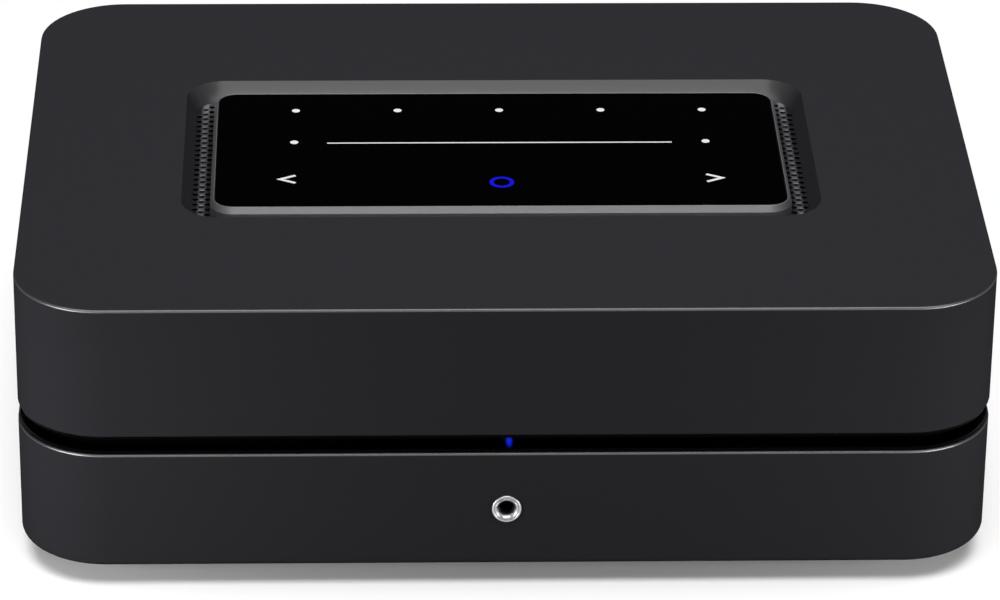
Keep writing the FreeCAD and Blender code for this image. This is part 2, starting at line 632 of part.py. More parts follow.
def grille_screw_places():
    """Screws of the vent sheet, from the well's middle."""
    side = "(well_width / 2 + grille_screw_out)"
    end = "(well_length / 2 + grille_screw_out)"
    corners = [(f"{sx} * {side}", f"{sy} * grille_screw_side") for sx in (-1, 1) for sy in (-1, 1)]
    return corners + [("0", f"{sy} * {end}") for sy in (-1, 1)]


def outside_rounded(x, y, width, height, corner):
    """Distance of a point outside a rounded rectangle, negative within it."""
    over_x = abs(x) - (width / 2 - corner)
    over_y = abs(y) - (height / 2 - corner)
    beyond = math.hypot(max(over_x, 0), max(over_y, 0))
    return beyond + min(max(over_x, over_y), 0) - corner


def rounded_wire(width, height, corner):
    """The closed edge of a rounded rectangle, centred on the origin."""
    edges = []
    for quarter in range(4):
        turn = FreeCAD.Rotation(Z_AXIS, 90 * quarter)
        reach, side = (width, height) if quarter % 2 else (height, width)
        start = FreeCAD.Vector(corner - side / 2, -reach / 2, 0)
        stop = FreeCAD.Vector(side / 2 - corner, -reach / 2, 0)
        slant = corner * math.sqrt(0.5)
        middle = FreeCAD.Vector(side / 2 - corner + slant, corner - reach / 2 - slant, 0)
        finish = FreeCAD.Vector(side / 2, corner - reach / 2, 0)
        start, stop, middle, finish = (turn.multVec(point) for point in (start, stop, middle, finish))
        edges.append(Part.LineSegment(start, stop).toShape())
        edges.append(Part.Arc(stop, middle, finish).toShape())
    return Part.Wire(edges)


def vent_hole_places():
    """Staggered vent holes between the island and the foot of the well's wall."""
    well = (number("well_width - 2 * well_slope"), number("well_length - 2 * well_slope"),
            number("well_corner - well_slope"))
    island = (number(f"glass_width + 2 * {ISLAND_EDGE}"), number(f"glass_length + 2 * {ISLAND_EDGE}"),
              number(f"glass_corner + {ISLAND_EDGE}"))
    hole, margin = number("grille_hole"), number("grille_edge")
    pitch, step = number("grille_pitch"), number("grille_column")
    corner_columns = 6
    rows = math.ceil(well[1] / pitch)
    places = []
    for column in range(corner_columns):
        x = well[0] / 2 - margin - hole - column * step
        for row in range(-rows, rows + 1):
            y = (row + column % 2 / 2) * pitch
            inside_well = outside_rounded(x, y, *well) < -(hole + margin) + 1e-9
            clear_of_island = outside_rounded(x, y, *island) > hole
            if inside_well and clear_of_island:
                places += [(x, y), (-x, y)]
    return places


def hexagon_wire(x, y, radius):
    """A six-sided hole."""
    points = [FreeCAD.Vector(x + radius * math.cos(turn * math.pi / 3),
                             y + radius * math.sin(turn * math.pi / 3), 0) for turn in range(7)]
    return Part.makePolygon(points)


def make_vent_grille():
    """Stamped sheet under the well, pierced along both sides of the touch island."""
    width, length = number("well_width + 2 * well_wall"), number("well_length + 2 * well_wall")
    edge = rounded_wire(width, length, number("well_corner + well_wall"))
    slot = rounded_wire(number("grille_slot_width"), number("grille_slot_length"),
                        number("grille_slot_corner"))
    holes = [hexagon_wire(x, y, number("grille_hole")) for x, y in vent_hole_places()]
    for x, y in grille_screw_places():
        holes.append(hexagon_wire(number(x), number(y), number("grille_screw_radius + screw_gap")))
    face = Part.makeFace([edge, slot] + holes, "Part::FaceMakerBullseye")
    sheet_metal = doc.addObject("Part::Feature", "vent_grille")
    sheet_metal.Shape = face.extrude(FreeCAD.Vector(0, 0, number("grille_thick")))
    place(sheet_metal, "0", MIDDLE, f"{WELL_FLOOR} - grille_thick")
    keep(sheet_metal, "vent_grille")
    print("vent holes", len(vent_hole_places()))


def prism(name, sides, radius, length, x, y, z, turn="z"):
    """An even-sided bar that starts at a point and runs along an axis."""
    bar = place(doc.addObject("Part::Prism", name), x, y, z, turn)
    bar.Polygon = sides
    return bind(bar, Circumradius=radius, Height=length)


def screw(name, x, y, seat, shank, head):
    """A screw driven upwards or downwards from its seat; shank and head are radius and length."""
    direction = -1 if seat[1] == "down" else 1
    shank_low = seat[0] if direction > 0 else f"{seat[0]} - ({shank[1]})"
    head_low = f"{seat[0]} - ({head[1]})" if direction > 0 else seat[0]
    return fuse(name, [prism(f"{name}_shank", 6, shank[0], shank[1], x, y, shank_low),
                       prism(f"{name}_head", 12, head[0], head[1], x, y, head_low)])


def make_grille_screws():
    seat = (f"{WELL_FLOOR} - grille_thick", "up")
    shank = ("grille_screw_radius", "grille_screw_length")
    head = ("grille_head_radius", "grille_head_height")
    screws = [screw(f"grille_screw_{index}", x, f"{MIDDLE} + {y}", seat, shank, head)
              for index, (x, y) in enumerate(grille_screw_places())]
    keep(group("grille_screws", screws), "grille_screws")


def make_case_screws():
    seat = ("foot_clear + head_well_depth", "up")
    shank = ("case_screw_radius", "case_screw_length")
    head = ("case_head_radius", "case_head_height")
    screws = [screw(f"case_screw_{index}", f"{sx} * {POST_X}", f"{MIDDLE} + {sy} * {POST_Y}",
                    seat, shank, head) for index, (sx, sy) in enumerate(POST_CORNERS)]
    keep(group("case_screws", screws), "case_screws")


def make_touch_bezel():
    """Island frame: straight sides, a bevel and a ledge for the glass."""
    body = start_body("touch_bezel", z=WELL_FLOOR)
    outer = rounded(sketch_on(body, "outer"), f"glass_width + 2 * {ISLAND_EDGE}",
                    f"glass_length + 2 * {ISLAND_EDGE}", f"glass_corner + {ISLAND_EDGE}")
    pad(body, outer, BEZEL_SIDE)
    foot = rounded(sketch_on(body, "bevel_foot", level=BEZEL_SIDE),
                   f"glass_width + 2 * {ISLAND_EDGE}", f"glass_length + 2 * {ISLAND_EDGE}",
                   f"glass_corner + {ISLAND_EDGE}")
    land = "(glass_gap + bevel_land)"
    crest = rounded(sketch_on(body, "bevel_crest", level=f"{BEZEL_SIDE} + bevel_drop"),
                    f"glass_width + 2 * {land}", f"glass_length + 2 * {land}", f"glass_corner + {land}")
    loft(body, "Additive", foot, crest)
    seat = rounded(sketch_on(body, "glass_seat", level=f"{BEZEL_SIDE} + bevel_drop"),
                   "glass_width + 2 * glass_gap", "glass_length + 2 * glass_gap", "glass_corner + glass_gap")
    pocket(body, seat, "glass_thick - glass_proud")
    window = rounded(sketch_on(body, "window"), "glass_width - 2 * bezel_shelf",
                     "glass_length - 2 * bezel_shelf", "glass_corner - bezel_shelf")
    pocket(body, window, "well_drop", reverse=True)


def make_touch_stack():
    """Black touch glass, the light guide taped under it and the sensing board."""
    glass_low = f"({ROOF} - glass_sink - glass_thick)"
    glass = start_body("touch_glass", z=glass_low)
    sheet_face = rounded(sketch_on(glass, "outline"), "glass_width", "glass_length", "glass_corner")
    solid = pad(glass, sheet_face, "glass_thick")
    soften(glass, solid, "glass_thick", "glass_chamfer", "Chamfer")
    inset = "(bezel_shelf + stack_gap)"
    layers = (("touch_light_guide", "guide_thick", f"{glass_low} - guide_thick"),
              ("touch_board", "touch_board_thick", f"{glass_low} - guide_thick - touch_board_thick"))
    for name, thickness, low in layers:
        layer = start_body(name, z=low)
        outline = rounded(sketch_on(layer, "outline"), f"glass_width - 2 * {inset}",
                          f"glass_length - 2 * {inset}", f"glass_corner - {inset}")
        pad(layer, outline, thickness)


def make_touch_ribbon():
    """Flat cable from the touch board through the sheet's opening to the main board."""
    body = start_body("touch_ribbon", z="0")
    low = f"{BOARD_TOP} + ribbon_connector_height"
    high = f"{ROOF} - glass_sink - glass_thick - guide_thick - touch_board_thick"
    slot_edge = "grille_slot_length / 2 - 3 * ribbon_thick"
    bend_high = f"{high} - ribbon_fall"
    bend_low = f"{bend_high} - ribbon_fall"
    path = [(slot_edge, high), (slot_edge, bend_high), (RIBBON_END, bend_low), (RIBBON_END, low)]
    return_path = [(f"{y} - ribbon_thick", z) for y, z in reversed(path)]
    profile = polygon(sketch_on(body, "profile", plane="YZ"), path + return_path)
    pad(body, profile, "ribbon_width", both=True)


def make_waist_band():
    """Black channel between the rims: a web with two flanges, and the lamp's window."""
    body = start_body("waist_band", z=LOWER_RIM)
    outer = rounded(sketch_on(body, "outer"), "case_width - 2 * band_rim", "case_depth - 2 * band_rim",
                    "case_corner - band_rim")
    pad(body, outer, "groove_height")
    inset = "(band_inset + band_web)"
    inner = rounded(sketch_on(body, "inner"), f"case_width - 2 * {inset}", f"case_depth - 2 * {inset}",
                    f"case_corner - {inset}")
    pocket(body, inner, "groove_height", reverse=True)
    channel = sketch_on(body, "channel", level="band_flange")
    rounded(channel, "case_width", "case_depth", "case_corner")
    rounded(channel, "case_width - 2 * band_inset", "case_depth - 2 * band_inset",
            "case_corner - band_inset")
    pocket(body, channel, "groove_height - 2 * band_flange", reverse=True)
    window = rectangle(sketch_on(body, "window", plane="XZ", level="band_inset + band_web - case_depth / 2"),
                       "pipe_width + 2 * pipe_gap", "pipe_tall + 2 * pipe_gap",
                       y="band_flange + pipe_above + pipe_tall / 2")
    pocket(body, window, "2 * band_web", reverse=True)


def make_light_pipe():
    """Clear bar from the lamp on the front board up and out through the band."""
    body = start_body("status_light_pipe", y=PIPE_FRONT, z=PIPE_LOW)
    drop = f"({FRONT_BOARD_TOP} + lamp_height - {PIPE_LOW})"
    points = [("0", "0"), ("pipe_reach - pipe_tall", "0"), ("pipe_reach - pipe_tall", drop),
              ("pipe_reach", drop), ("pipe_reach", "0.5 * pipe_tall"),
              ("pipe_reach - 0.5 * pipe_tall", "pipe_tall"), ("0", "pipe_tall")]
    profile = polygon(sketch_on(body, "profile", plane="YZ"), points)
    pad(body, profile, "pipe_width", both=True)


def board_screw_places(board):
    """Screws of one board, from the case's middle."""
    if board == "main":
        rear = f"{MAIN_REAR} - {MIDDLE} - main_screw_rear"
        front = f"{MAIN_REAR} - {MIDDLE} - main_length + board_edge"
        return [(f"{MAIN_X} + {side} * ({MAIN_WIDTH} / 2 - board_edge)", y)
                for side in (-1, 1) for y in (front, rear)]
    mid_x, mid_y = (POWER_X, POWER_Y) if board == "power" else (DRIVE_X, DRIVE_Y)
    return [(f"{mid_x} + {sx} * ({board}_width / 2 - board_edge)",
             f"{mid_y} + {sy} * ({board}_length / 2 - board_edge)") for sx, sy in POST_CORNERS]


def front_screw_places():
    rear = f"{FRONT_BOARD_EDGE} - {MIDDLE} + front_length - board_edge"
    return [(f"{side} * front_screw_x", rear) for side in (-1, 1)]


def make_bottom_shell():
    """Lower shell: a moulded ring with a ledge for the base plate and an opening behind."""
    body = start_body("bottom_shell", z="foot_clear")
    outline = rounded(sketch_on(body, "outline"), "case_width", "case_depth", "case_corner")
    solid = pad(body, outline, "lower_height")
    solid = soften(body, solid, "0", "base_round")
    soften(body, solid, "lower_height", "rim_round")
    inside = rounded(sketch_on(body, "inside"), "case_width - 2 * case_wall",
                     "case_depth - 2 * case_wall", "case_corner - case_wall")
    pocket(body, inside, "lower_height", reverse=True)
    ledge = sketch_on(body, "ledge", level="floor_thick")
    rounded(ledge, "case_width - case_wall", "case_depth - case_wall", "case_corner - case_wall / 2")
    inset = "(case_wall + ledge_width)"
    rounded(ledge, f"case_width - 2 * {inset}", f"case_depth - 2 * {inset}", f"case_corner - {inset}")
    pad(body, ledge, "ledge_thick")
    rear = rectangle(sketch_on(body, "ledge_rear", level="floor_thick"), f"2 * ({OPENING_HALF} + 2 * panel_lap)",
                     "2 * ledge_width", y="case_depth / 2 - case_wall - ledge_width")
    pocket(body, rear, "ledge_thick", reverse=True)
    jack = circle(sketch_on(body, "jack_hole", plane="XZ", level="case_wall - case_depth / 2"),
                  "jack_neck + socket_gap", y="jack_height - foot_clear")
    pocket(body, jack, "case_wall", reverse=True)
    opening_height = "(lower_height - floor_thick - opening_low - opening_high)"
    opening = rounded(sketch_on(body, "rear_opening", plane="XZ", level="case_depth / 2 - case_wall"),
                      f"2 * {OPENING_HALF}", opening_height, "opening_corner",
                      y=f"floor_thick + opening_low + {opening_height} / 2")
    pocket(body, opening, "case_wall")


def make_base_plate():
    """Moulded base plate with screw posts, board bosses, foot seats and air slots."""
    body = start_body("base_plate", z="foot_clear")
    inset = "(case_wall + floor_gap)"
    outline = rounded(sketch_on(body, "outline"), f"case_width - 2 * {inset}", f"case_depth - 2 * {inset}",
                      f"case_corner - {inset}")
    pad(body, outline, "floor_thick")
    posts = sketch_on(body, "posts", level="floor_thick / 2")
    seats = sketch_on(body, "foot_seats")
    wells = sketch_on(body, "head_wells")
    holes = sketch_on(body, "post_holes")
    for sx, sy in POST_CORNERS:
        x, y = f"{sx} * {POST_X}", f"{sy} * {POST_Y}"
        circle(posts, "post_radius", x, y)
        circle(seats, "foot_radius + foot_gap", x, y)
        circle(wells, "case_head_radius + screw_gap", x, y)
        six_sided(holes, "case_screw_radius + screw_gap", x, y)
    pad(body, posts, "lower_height + groove_height - floor_thick / 2")
    low_bosses = sketch_on(body, "bosses", level="floor_thick / 2")
    low_pilots = sketch_on(body, "pilots", level="floor_thick + standoff")
    for board in ("main", "power", "drive"):
        for x, y in board_screw_places(board):
            six_sided(low_bosses, "boss_radius", x, y)
            six_sided(low_pilots, "board_screw_radius + screw_gap", x, y)
    pad(body, low_bosses, "standoff + floor_thick / 2")
    pocket(body, low_pilots, "board_screw_length - board_thick + screw_gap")
    high_bosses = sketch_on(body, "front_bosses", level="floor_thick / 2")
    high_pilots = sketch_on(body, "front_pilots", level=f"{FRONT_BOARD_LOW} - foot_clear")
    for x, y in front_screw_places():
        six_sided(high_bosses, "boss_radius", x, y)
        six_sided(high_pilots, "board_screw_radius + screw_gap", x, y)
    pad(body, high_bosses, f"{FRONT_BOARD_LOW} - foot_clear - floor_thick / 2")
    pocket(body, high_pilots, "board_screw_length - board_thick + screw_gap")
    rib = rectangle(sketch_on(body, "panel_rib", level="floor_thick / 2"),
                    f"2 * {OPENING_HALF}", "panel_rib",
                    y="case_depth / 2 - case_wall - panel_thick - panel_rib / 2")
    pad(body, rib, "panel_rib_height + floor_thick / 2")
    pocket(body, seats, "foot_seat", reverse=True)
    pocket(body, wells, "head_well_depth", reverse=True)
    pocket(body, holes, "lower_height + groove_height", reverse=True)
    for name, x, y, count in (("drive", DRIVE_X, DRIVE_Y, 7), ("power", POWER_X, POWER_Y, 6)):
        first = rectangle(sketch_on(body, f"{name}_slot"), "slot_width", "slot_length",
                          x=f"{x} - slot_pitch * {(count - 1) / 2}", y=y)
        row_of(body, pocket(body, first, "floor_thick", reverse=True), first, "H_Axis", "slot_pitch", count)


def make_feet():
    """Four round rubber feet let into the underside, over the case screws."""
    for sx, sy in POST_CORNERS:
        label = f"foot_{'front' if sy < 0 else 'rear'}_{'left' if sx < 0 else 'right'}"
        body = start_body(label, x=f"{sx} * {POST_X}", y=f"{MIDDLE} + {sy} * {POST_Y}")
        pad(body, circle(sketch_on(body, "outline"), "foot_radius"), "foot_clear + foot_seat")


def rear_plate(name, left, right):
    """One flat plate of the rear panel, between two places along x."""
    plate = place(doc.addObject("PartDesign::Body", name), "0", PANEL, "0")
    low, high = INNER_FLOOR, f"({LOWER_RIM} - opening_high + panel_top_lap)"
    outline = polygon(sketch_on(plate, "outline", plane="XZ"),
                      [(left, low), (right, low), (right, high), (left, high)])
    pad(plate, outline, "panel_thick")
    return plate, sketch_on(plate, "holes", plane="XZ", level="-panel_thick")


def make_rear_panel():
    """Two black plates behind the rear opening, with a cut-out for each socket."""
    half = f"({OPENING_HALF} + panel_lap)"
    seam = f"(({AUDIO_X} + jack_neck + {VIDEO_X} - video_width / 2) / 2)"
    plates = [rear_plate("socket_plate", f"-{half}", f"{seam} - panel_seam / 2"),
              rear_plate("terminal_plate", f"{seam} + panel_seam / 2", half)]
    for index in POST_NUMBERS:
        six_sided(plates[1][1], "bush_radius + socket_gap", post_x(index), SOCKET_MID)
    circle(plates[0][1], "jack_neck + socket_gap", AUDIO_X, REAR_JACK_MID)
    circle(plates[1][1], "phono_neck + socket_gap", PHONO_X, SOCKET_MID)
    for holes, name, x, above in ((plates[0][1], "network", NETWORK_X, BOARD_TOP),
                                  (plates[0][1], "data", DATA_X, f"{BOARD_TOP} + data_above"),
                                  (plates[1][1], "video", VIDEO_X, f"{BOARD_TOP} + video_above")):
        rectangle(holes, f"{name}_width + 2 * socket_gap", f"{name}_tall + 2 * socket_gap",
                  x, f"{above} + {name}_tall / 2")
    rectangle(plates[0][1], "inlet_width + 2 * socket_gap", "inlet_tall + 2 * socket_gap", INLET_X, SOCKET_MID)
    for plate, holes in plates:
        pocket(plate, holes, "panel_thick")
    keep(group("rear_panel", [plate for plate, holes in plates]), "rear_panel")


def post_x(index):
    """Middle of one speaker terminal; number 1 is next to the subwoofer socket."""
    return f"({BLOCK_X} + {index - 2.5} * post_pitch)"


def make_terminal_block():
    """Moulded plate with a bush and a six-sided seat for each terminal stud."""
    body = start_body("terminal_block", y=PANEL)
    face = rounded(sketch_on(body, "face", plane="XZ"), "block_width", "block_height", "block_corner",
                   x=BLOCK_X, y=SOCKET_MID)
    pad(body, face, "block_thick", reverse=True)
    bushes = sketch_on(body, "bushes", plane="XZ")
    bores = sketch_on(body, "bores", plane="XZ", level="block_thick")
    collars = sketch_on(body, "collars", plane="XZ", level="block_thick")
    for index in POST_NUMBERS:
        six_sided(bushes, "bush_radius", post_x(index), SOCKET_MID)
        circle(bores, "stud_radius + thread_gap", post_x(index), SOCKET_MID)
        six_sided(collars, "collar_radius + thread_gap", post_x(index), SOCKET_MID)
    pad(body, bushes, "panel_thick + bush_past")
    pocket(body, bores, "block_thick + panel_thick + bush_past", reverse=True)
    pocket(body, collars, "collar_thick", reverse=True)


def make_terminal_studs():
    """Threaded studs that can't turn in the block, drilled for a plug and for bare wire."""
    block_out = "block_thick"
    for index in POST_NUMBERS:
        body = start_body(f"terminal_stud_{index}", x=post_x(index), y=PANEL, z=SOCKET_MID)
        points = [("0", "-stud_in"), ("stud_radius", "-stud_in"), ("stud_radius", "stud_out"),
                  ("plug_bore", "stud_out"), ("plug_bore", "stud_out - plug_depth"),
                  ("0", "stud_out - plug_depth")]
        revolve(body, polygon(sketch_on(body, "profile"), points))
        collar = six_sided(sketch_on(body, "collar", plane="XZ", level=f"{block_out} - collar_thick"),
                           "collar_radius")
        pad(body, collar, "collar_thick", reverse=True)
        cross = circle(sketch_on(body, "wire_hole", level="-2 * stud_radius"), "wire_hole",
                       y=f"{block_out} + wire_hole_out")
        pocket(body, cross, "4 * stud_radius", reverse=True)


def make_clamp_washers():
    """Loose washers that slide on the studs and press the bare wire to the block."""
    for index in POST_NUMBERS:
        body = start_body(f"clamp_washer_{index}", x=post_x(index), y=PANEL, z=SOCKET_MID)
        ring = sketch_on(body, "ring", plane="XZ", level="block_thick + seat_gap")
        circle(ring, "washer_radius")
        circle(ring, "stud_radius + thread_gap")
        pad(body, ring, "washer_thick", reverse=True)


def make_terminal_caps():
    """Fluted caps that screw along the studs."""
    for index in POST_NUMBERS:
        body = start_body(f"terminal_cap_{index}", x=post_x(index), y=PANEL, z=SOCKET_MID)
        low = "(block_thick + 2 * seat_gap + washer_thick)"
        high = f"({low} + cap_length)"
        bore = "(stud_radius + thread_gap)"
        points = [(bore, low), ("cap_radius", low), ("cap_radius", f"{high} - cap_chamfer"),
                  ("cap_radius - cap_chamfer", high), ("cap_mouth", high), ("cap_mouth", f"{high} - cap_lip"),
                  (bore, f"{high} - cap_lip")]
        profile = polygon(sketch_on(body, "profile"), points)
        revolve(body, profile)
        flute = sketch_on(body, "flute", plane="XZ", level=f"{low} + flute_start")
        polygon(flute, [("cap_radius - flute_depth", "0"), ("cap_radius + flute_depth", "-flute_width"),
                        ("cap_radius + flute_depth", "flute_width")])
        ring_of(body, pocket(body, flute, "cap_length"), profile, 12)


def make_terminal_nuts():
    """Hexagon nuts that clamp the studs against the bushes, inside the panel."""
    nuts = []
    for index in POST_NUMBERS:
        low = f"{PANEL} - panel_thick - bush_past - nut_thick"
        hexagon = prism(f"nut_{index}_hexagon", 6, "nut_radius", "nut_thick", post_x(index), low,
                        SOCKET_MID, "y")
        bore = rod(f"nut_{index}_bore", "y", "stud_radius + thread_gap", "3 * nut_thick",
                   post_x(index), f"{low} - nut_thick", SOCKET_MID)
        nuts.append(cut(f"nut_{index}", hexagon, [bore]))
    keep(group("terminal_nuts", nuts), "terminal_nuts")


def make_mains_inlet():
    """Two-pin mains inlet with its flange, and the pins moulded into it."""
    body = start_body("mains_inlet", x=INLET_X, y=PANEL, z=SOCKET_MID)
    housing = rectangle(sketch_on(body, "housing", plane="XZ"), "inlet_width", "inlet_tall")
    pad(body, housing, "inlet_length")
    flange = rounded(sketch_on(body, "flange", plane="XZ"), "inlet_flange_width", "inlet_flange_height",
                     "inlet_mouth_corner")
    pad(body, flange, "inlet_flange_thick", reverse=True)
    mouth = rounded(sketch_on(body, "mouth", plane="XZ", level="inlet_flange_thick - inlet_mouth_depth"),
                    "inlet_mouth_width", "inlet_mouth_height", "inlet_mouth_corner")
    pocket(body, mouth, "inlet_mouth_depth")
    pins = sketch_on(body, "pin_holes", plane="XZ", level="inlet_flange_thick - inlet_mouth_depth")
    for side in (-1, 1):
        circle(pins, "pin_radius", f"{side} * pin_pitch / 2")
    pocket(body, pins, "inlet_length", reverse=True)
    rods = []
    for index, side in enumerate((-1, 1)):
        low = f"{PANEL} - inlet_length - pin_tail"
        length = "inlet_length + pin_tail + inlet_flange_thick - inlet_mouth_depth + pin_length"
        rods.append(rod(f"mains_pin_{index}", "y", "pin_radius", length,
                        f"{INLET_X} + {side} * pin_pitch / 2", low, SOCKET_MID))
    keep(group("mains_pins", rods), "mains_pins")


def make_network_socket():
    """Eight-way network socket with its latch slot and spring contacts."""
    out = f"({PANEL} + network_proud)"
    mid = f"({BOARD_TOP} + network_mouth_low + network_mouth_height / 2)"
    body = start_body("network_socket", x=NETWORK_X, y=out, z=BOARD_TOP)
    face = rectangle(sketch_on(body, "face", plane="XZ"), "network_width", "network_tall",
                     y="network_tall / 2")
    pad(body, face, "network_length")
    low = "network_mouth_low"
    high = "(network_mouth_low + network_mouth_height)"
    step = f"({low} - network_latch_height)"
    half, latch = "network_mouth_width / 2", "network_latch_width / 2"
    points = [(f"-{half}", high), (f"-{half}", low), (f"-{latch}", low), (f"-{latch}", step),
              (latch, step), (latch, low), (half, low), (half, high)]
    mouth = polygon(sketch_on(body, "mouth", plane="XZ", level="-network_mouth_depth"), points)
    pocket(body, mouth, "network_mouth_depth")
    springs = []
    for index in range(8):
        spring = centred(f"network_spring_{index}", f"{NETWORK_X} + {index - 3.5} * contact_pitch",
                         "contact_width", (f"{out} - network_mouth_depth", f"{out} - contact_out"),
                         (f"{mid} + network_mouth_height / 2 - contact_drop",
                          f"{mid} + network_mouth_height / 2 - contact_drop + contact_width"))
        springs.append(spring)
    keep(group("network_contacts", springs), "network_contacts")


def make_flat_sockets():
    """Folded sheet-metal sockets, each with the plastic tongue in its mouth."""
    tongues = []
    for name, x, tongue_up in (("data", DATA_X, "data_tall * 0.66"), ("video", VIDEO_X, "video_tall * 0.5")):
        out = f"({PANEL} + {name}_proud)"
        body = start_body(f"{name}_socket_shell", x=x, y=out, z=f"{BOARD_TOP} + {name}_above")
        half, tall, metal = f"({name}_width / 2)", f"{name}_tall", f"{name}_sheet"
        if name == "data":
            outer = [(f"-{half}", "0"), (half, "0"), (half, tall), (f"-{half}", tall)]
            inner = [(f"{metal} - {half}", metal), (f"{half} - {metal}", metal),
                     (f"{half} - {metal}", f"{tall} - {metal}"), (f"{metal} - {half}", f"{tall} - {metal}")]
        else:
            slant = "video_taper"
            outer = [(f"{slant} - {half}", "0"), (f"{half} - {slant}", "0"), (half, slant), (half, tall),
                     (f"-{half}", tall), (f"-{half}", slant)]
            bite = f"({slant} + 0.41 * {metal})"
            inner = [(f"{bite} - {half}", metal), (f"{half} - {bite}", metal),
                     (f"{half} - {metal}", bite), (f"{half} - {metal}", f"{tall} - {metal}"),
                     (f"{metal} - {half}", f"{tall} - {metal}"), (f"{metal} - {half}", bite)]
        pad(body, polygon(sketch_on(body, "outer", plane="XZ"), outer), f"{name}_length")
        mouth = polygon(sketch_on(body, "inner", plane="XZ", level=f"{metal} - {name}_length"), inner)
        pocket(body, mouth, f"{name}_length")
        inside = f"({name}_width - 2 * {metal} - 2 * {name}_tongue_side)"
        low = f"{BOARD_TOP} + {name}_above + {tongue_up} - {name}_tongue_thick / 2"
        tongues.append(centred(f"{name}_tongue", x, inside,
                               (f"{out} - {name}_length + {metal}", f"{out} - {name}_tongue_back"),
                               (low, f"{low} + {name}_tongue_thick")))
    keep(group("socket_tongues", tongues), "socket_tongues")


def round_socket(label, x, face, height, neck, proud, back):
    """A small round socket: a square body behind a face and a neck through it."""
    sign = 1 if back else -1
    body = start_body(label, x=x, y=face, z=height)
    shape = rectangle(sketch_on(body, "housing", plane="XZ"), "jack_width", "jack_tall")
    pad(body, shape, "jack_length", reverse=not back)
    if neck:
        tube = circle(sketch_on(body, "neck", plane="XZ"), "jack_neck")
        pad(body, tube, proud, reverse=back)
    start = proud if neck else "0"
    bore = circle(sketch_on(body, "bore", plane="XZ", level=f"{sign} * ({start})"), "jack_bore")
    pocket(body, bore, f"{start} + jack_depth", reverse=back)


def make_round_sockets():
    """Audio input behind, headphones in front."""
    round_socket("audio_input_socket", AUDIO_X, f"({PANEL} - panel_thick)", REAR_JACK_MID, True,
                 "panel_thick + neck_proud", True)
    round_socket("headphone_socket", "0", f"({FRONT} + case_wall)", "jack_height", False, "0", False)


def make_headphone_ring():
    """Turned chrome ring let into the front wall."""
    body = start_body("headphone_ring", y=FRONT, z="jack_height")
    face = "-ring_proud"
    groove_low, groove_out = f"{face} + ring_groove_depth", "ring_groove + ring_groove_width"
    points = [("ring_bore", f"{face} + ring_sink"), ("ring_mouth", face), ("ring_groove", face),
              ("ring_groove", groove_low), (groove_out, groove_low), (groove_out, face),
              ("ring_radius - ring_chamfer", face),
              ("ring_radius", f"{face} + ring_chamfer"), ("ring_radius", "0"), ("jack_neck", "0"),
              ("jack_neck", "case_wall"), ("ring_bore", "case_wall")]
    revolve(body, polygon(sketch_on(body, "profile"), points))


def make_subwoofer_socket():
    """Round phono socket: a turned metal tube and the insulating core inside it."""
    tube = start_body("subwoofer_socket", x=PHONO_X, y=PANEL, z=SOCKET_MID)
    inner = "(phono_radius - phono_wall)"
    points = [("0", "-phono_tail"), ("phono_neck", "-phono_tail"), ("phono_neck", "0"),
              ("phono_flange", "0"), ("phono_flange", "phono_flange_thick"),
              ("phono_radius", "phono_flange_thick"), ("phono_radius", "phono_reach"),
              (inner, "phono_reach"), (inner, "phono_flange_thick"), ("0", "phono_flange_thick")]
    revolve(tube, polygon(sketch_on(tube, "profile"), points))
    core = start_body("subwoofer_socket_core", x=PHONO_X, y=PANEL, z=SOCKET_MID)
    end = "(phono_reach - phono_core_sink)"
    bottom = f"({end} - phono_bore_depth)"
    points = [("0", "phono_flange_thick"), (inner, "phono_flange_thick"), (inner, end),
              ("phono_bore", end), ("phono_bore", bottom), ("0", bottom)]
    revolve(core, polygon(sketch_on(core, "profile"), points))


def board(name, x, y, width, length, low, screws, chips):
    """A printed board with its screw holes and the parts soldered on it."""
    body = start_body(name, z=low)
    outline = rectangle(sketch_on(body, "outline"), width, length, x, y)
    pad(body, outline, "board_thick")
    holes = sketch_on(body, "holes")
    for hole_x, hole_y in screws:
        six_sided(holes, "board_screw_radius + screw_gap", hole_x, hole_y)
    pocket(body, holes, "board_thick", reverse=True)
    for index, (chip_x, chip_y, chip_width, chip_length, chip_tall) in enumerate(chips):
        face = rectangle(sketch_on(body, f"part_{index}", level="board_thick / 2"),
                         chip_width, chip_length, chip_x, chip_y)
        pad(body, face, f"{chip_tall} + board_thick / 2")
    return body


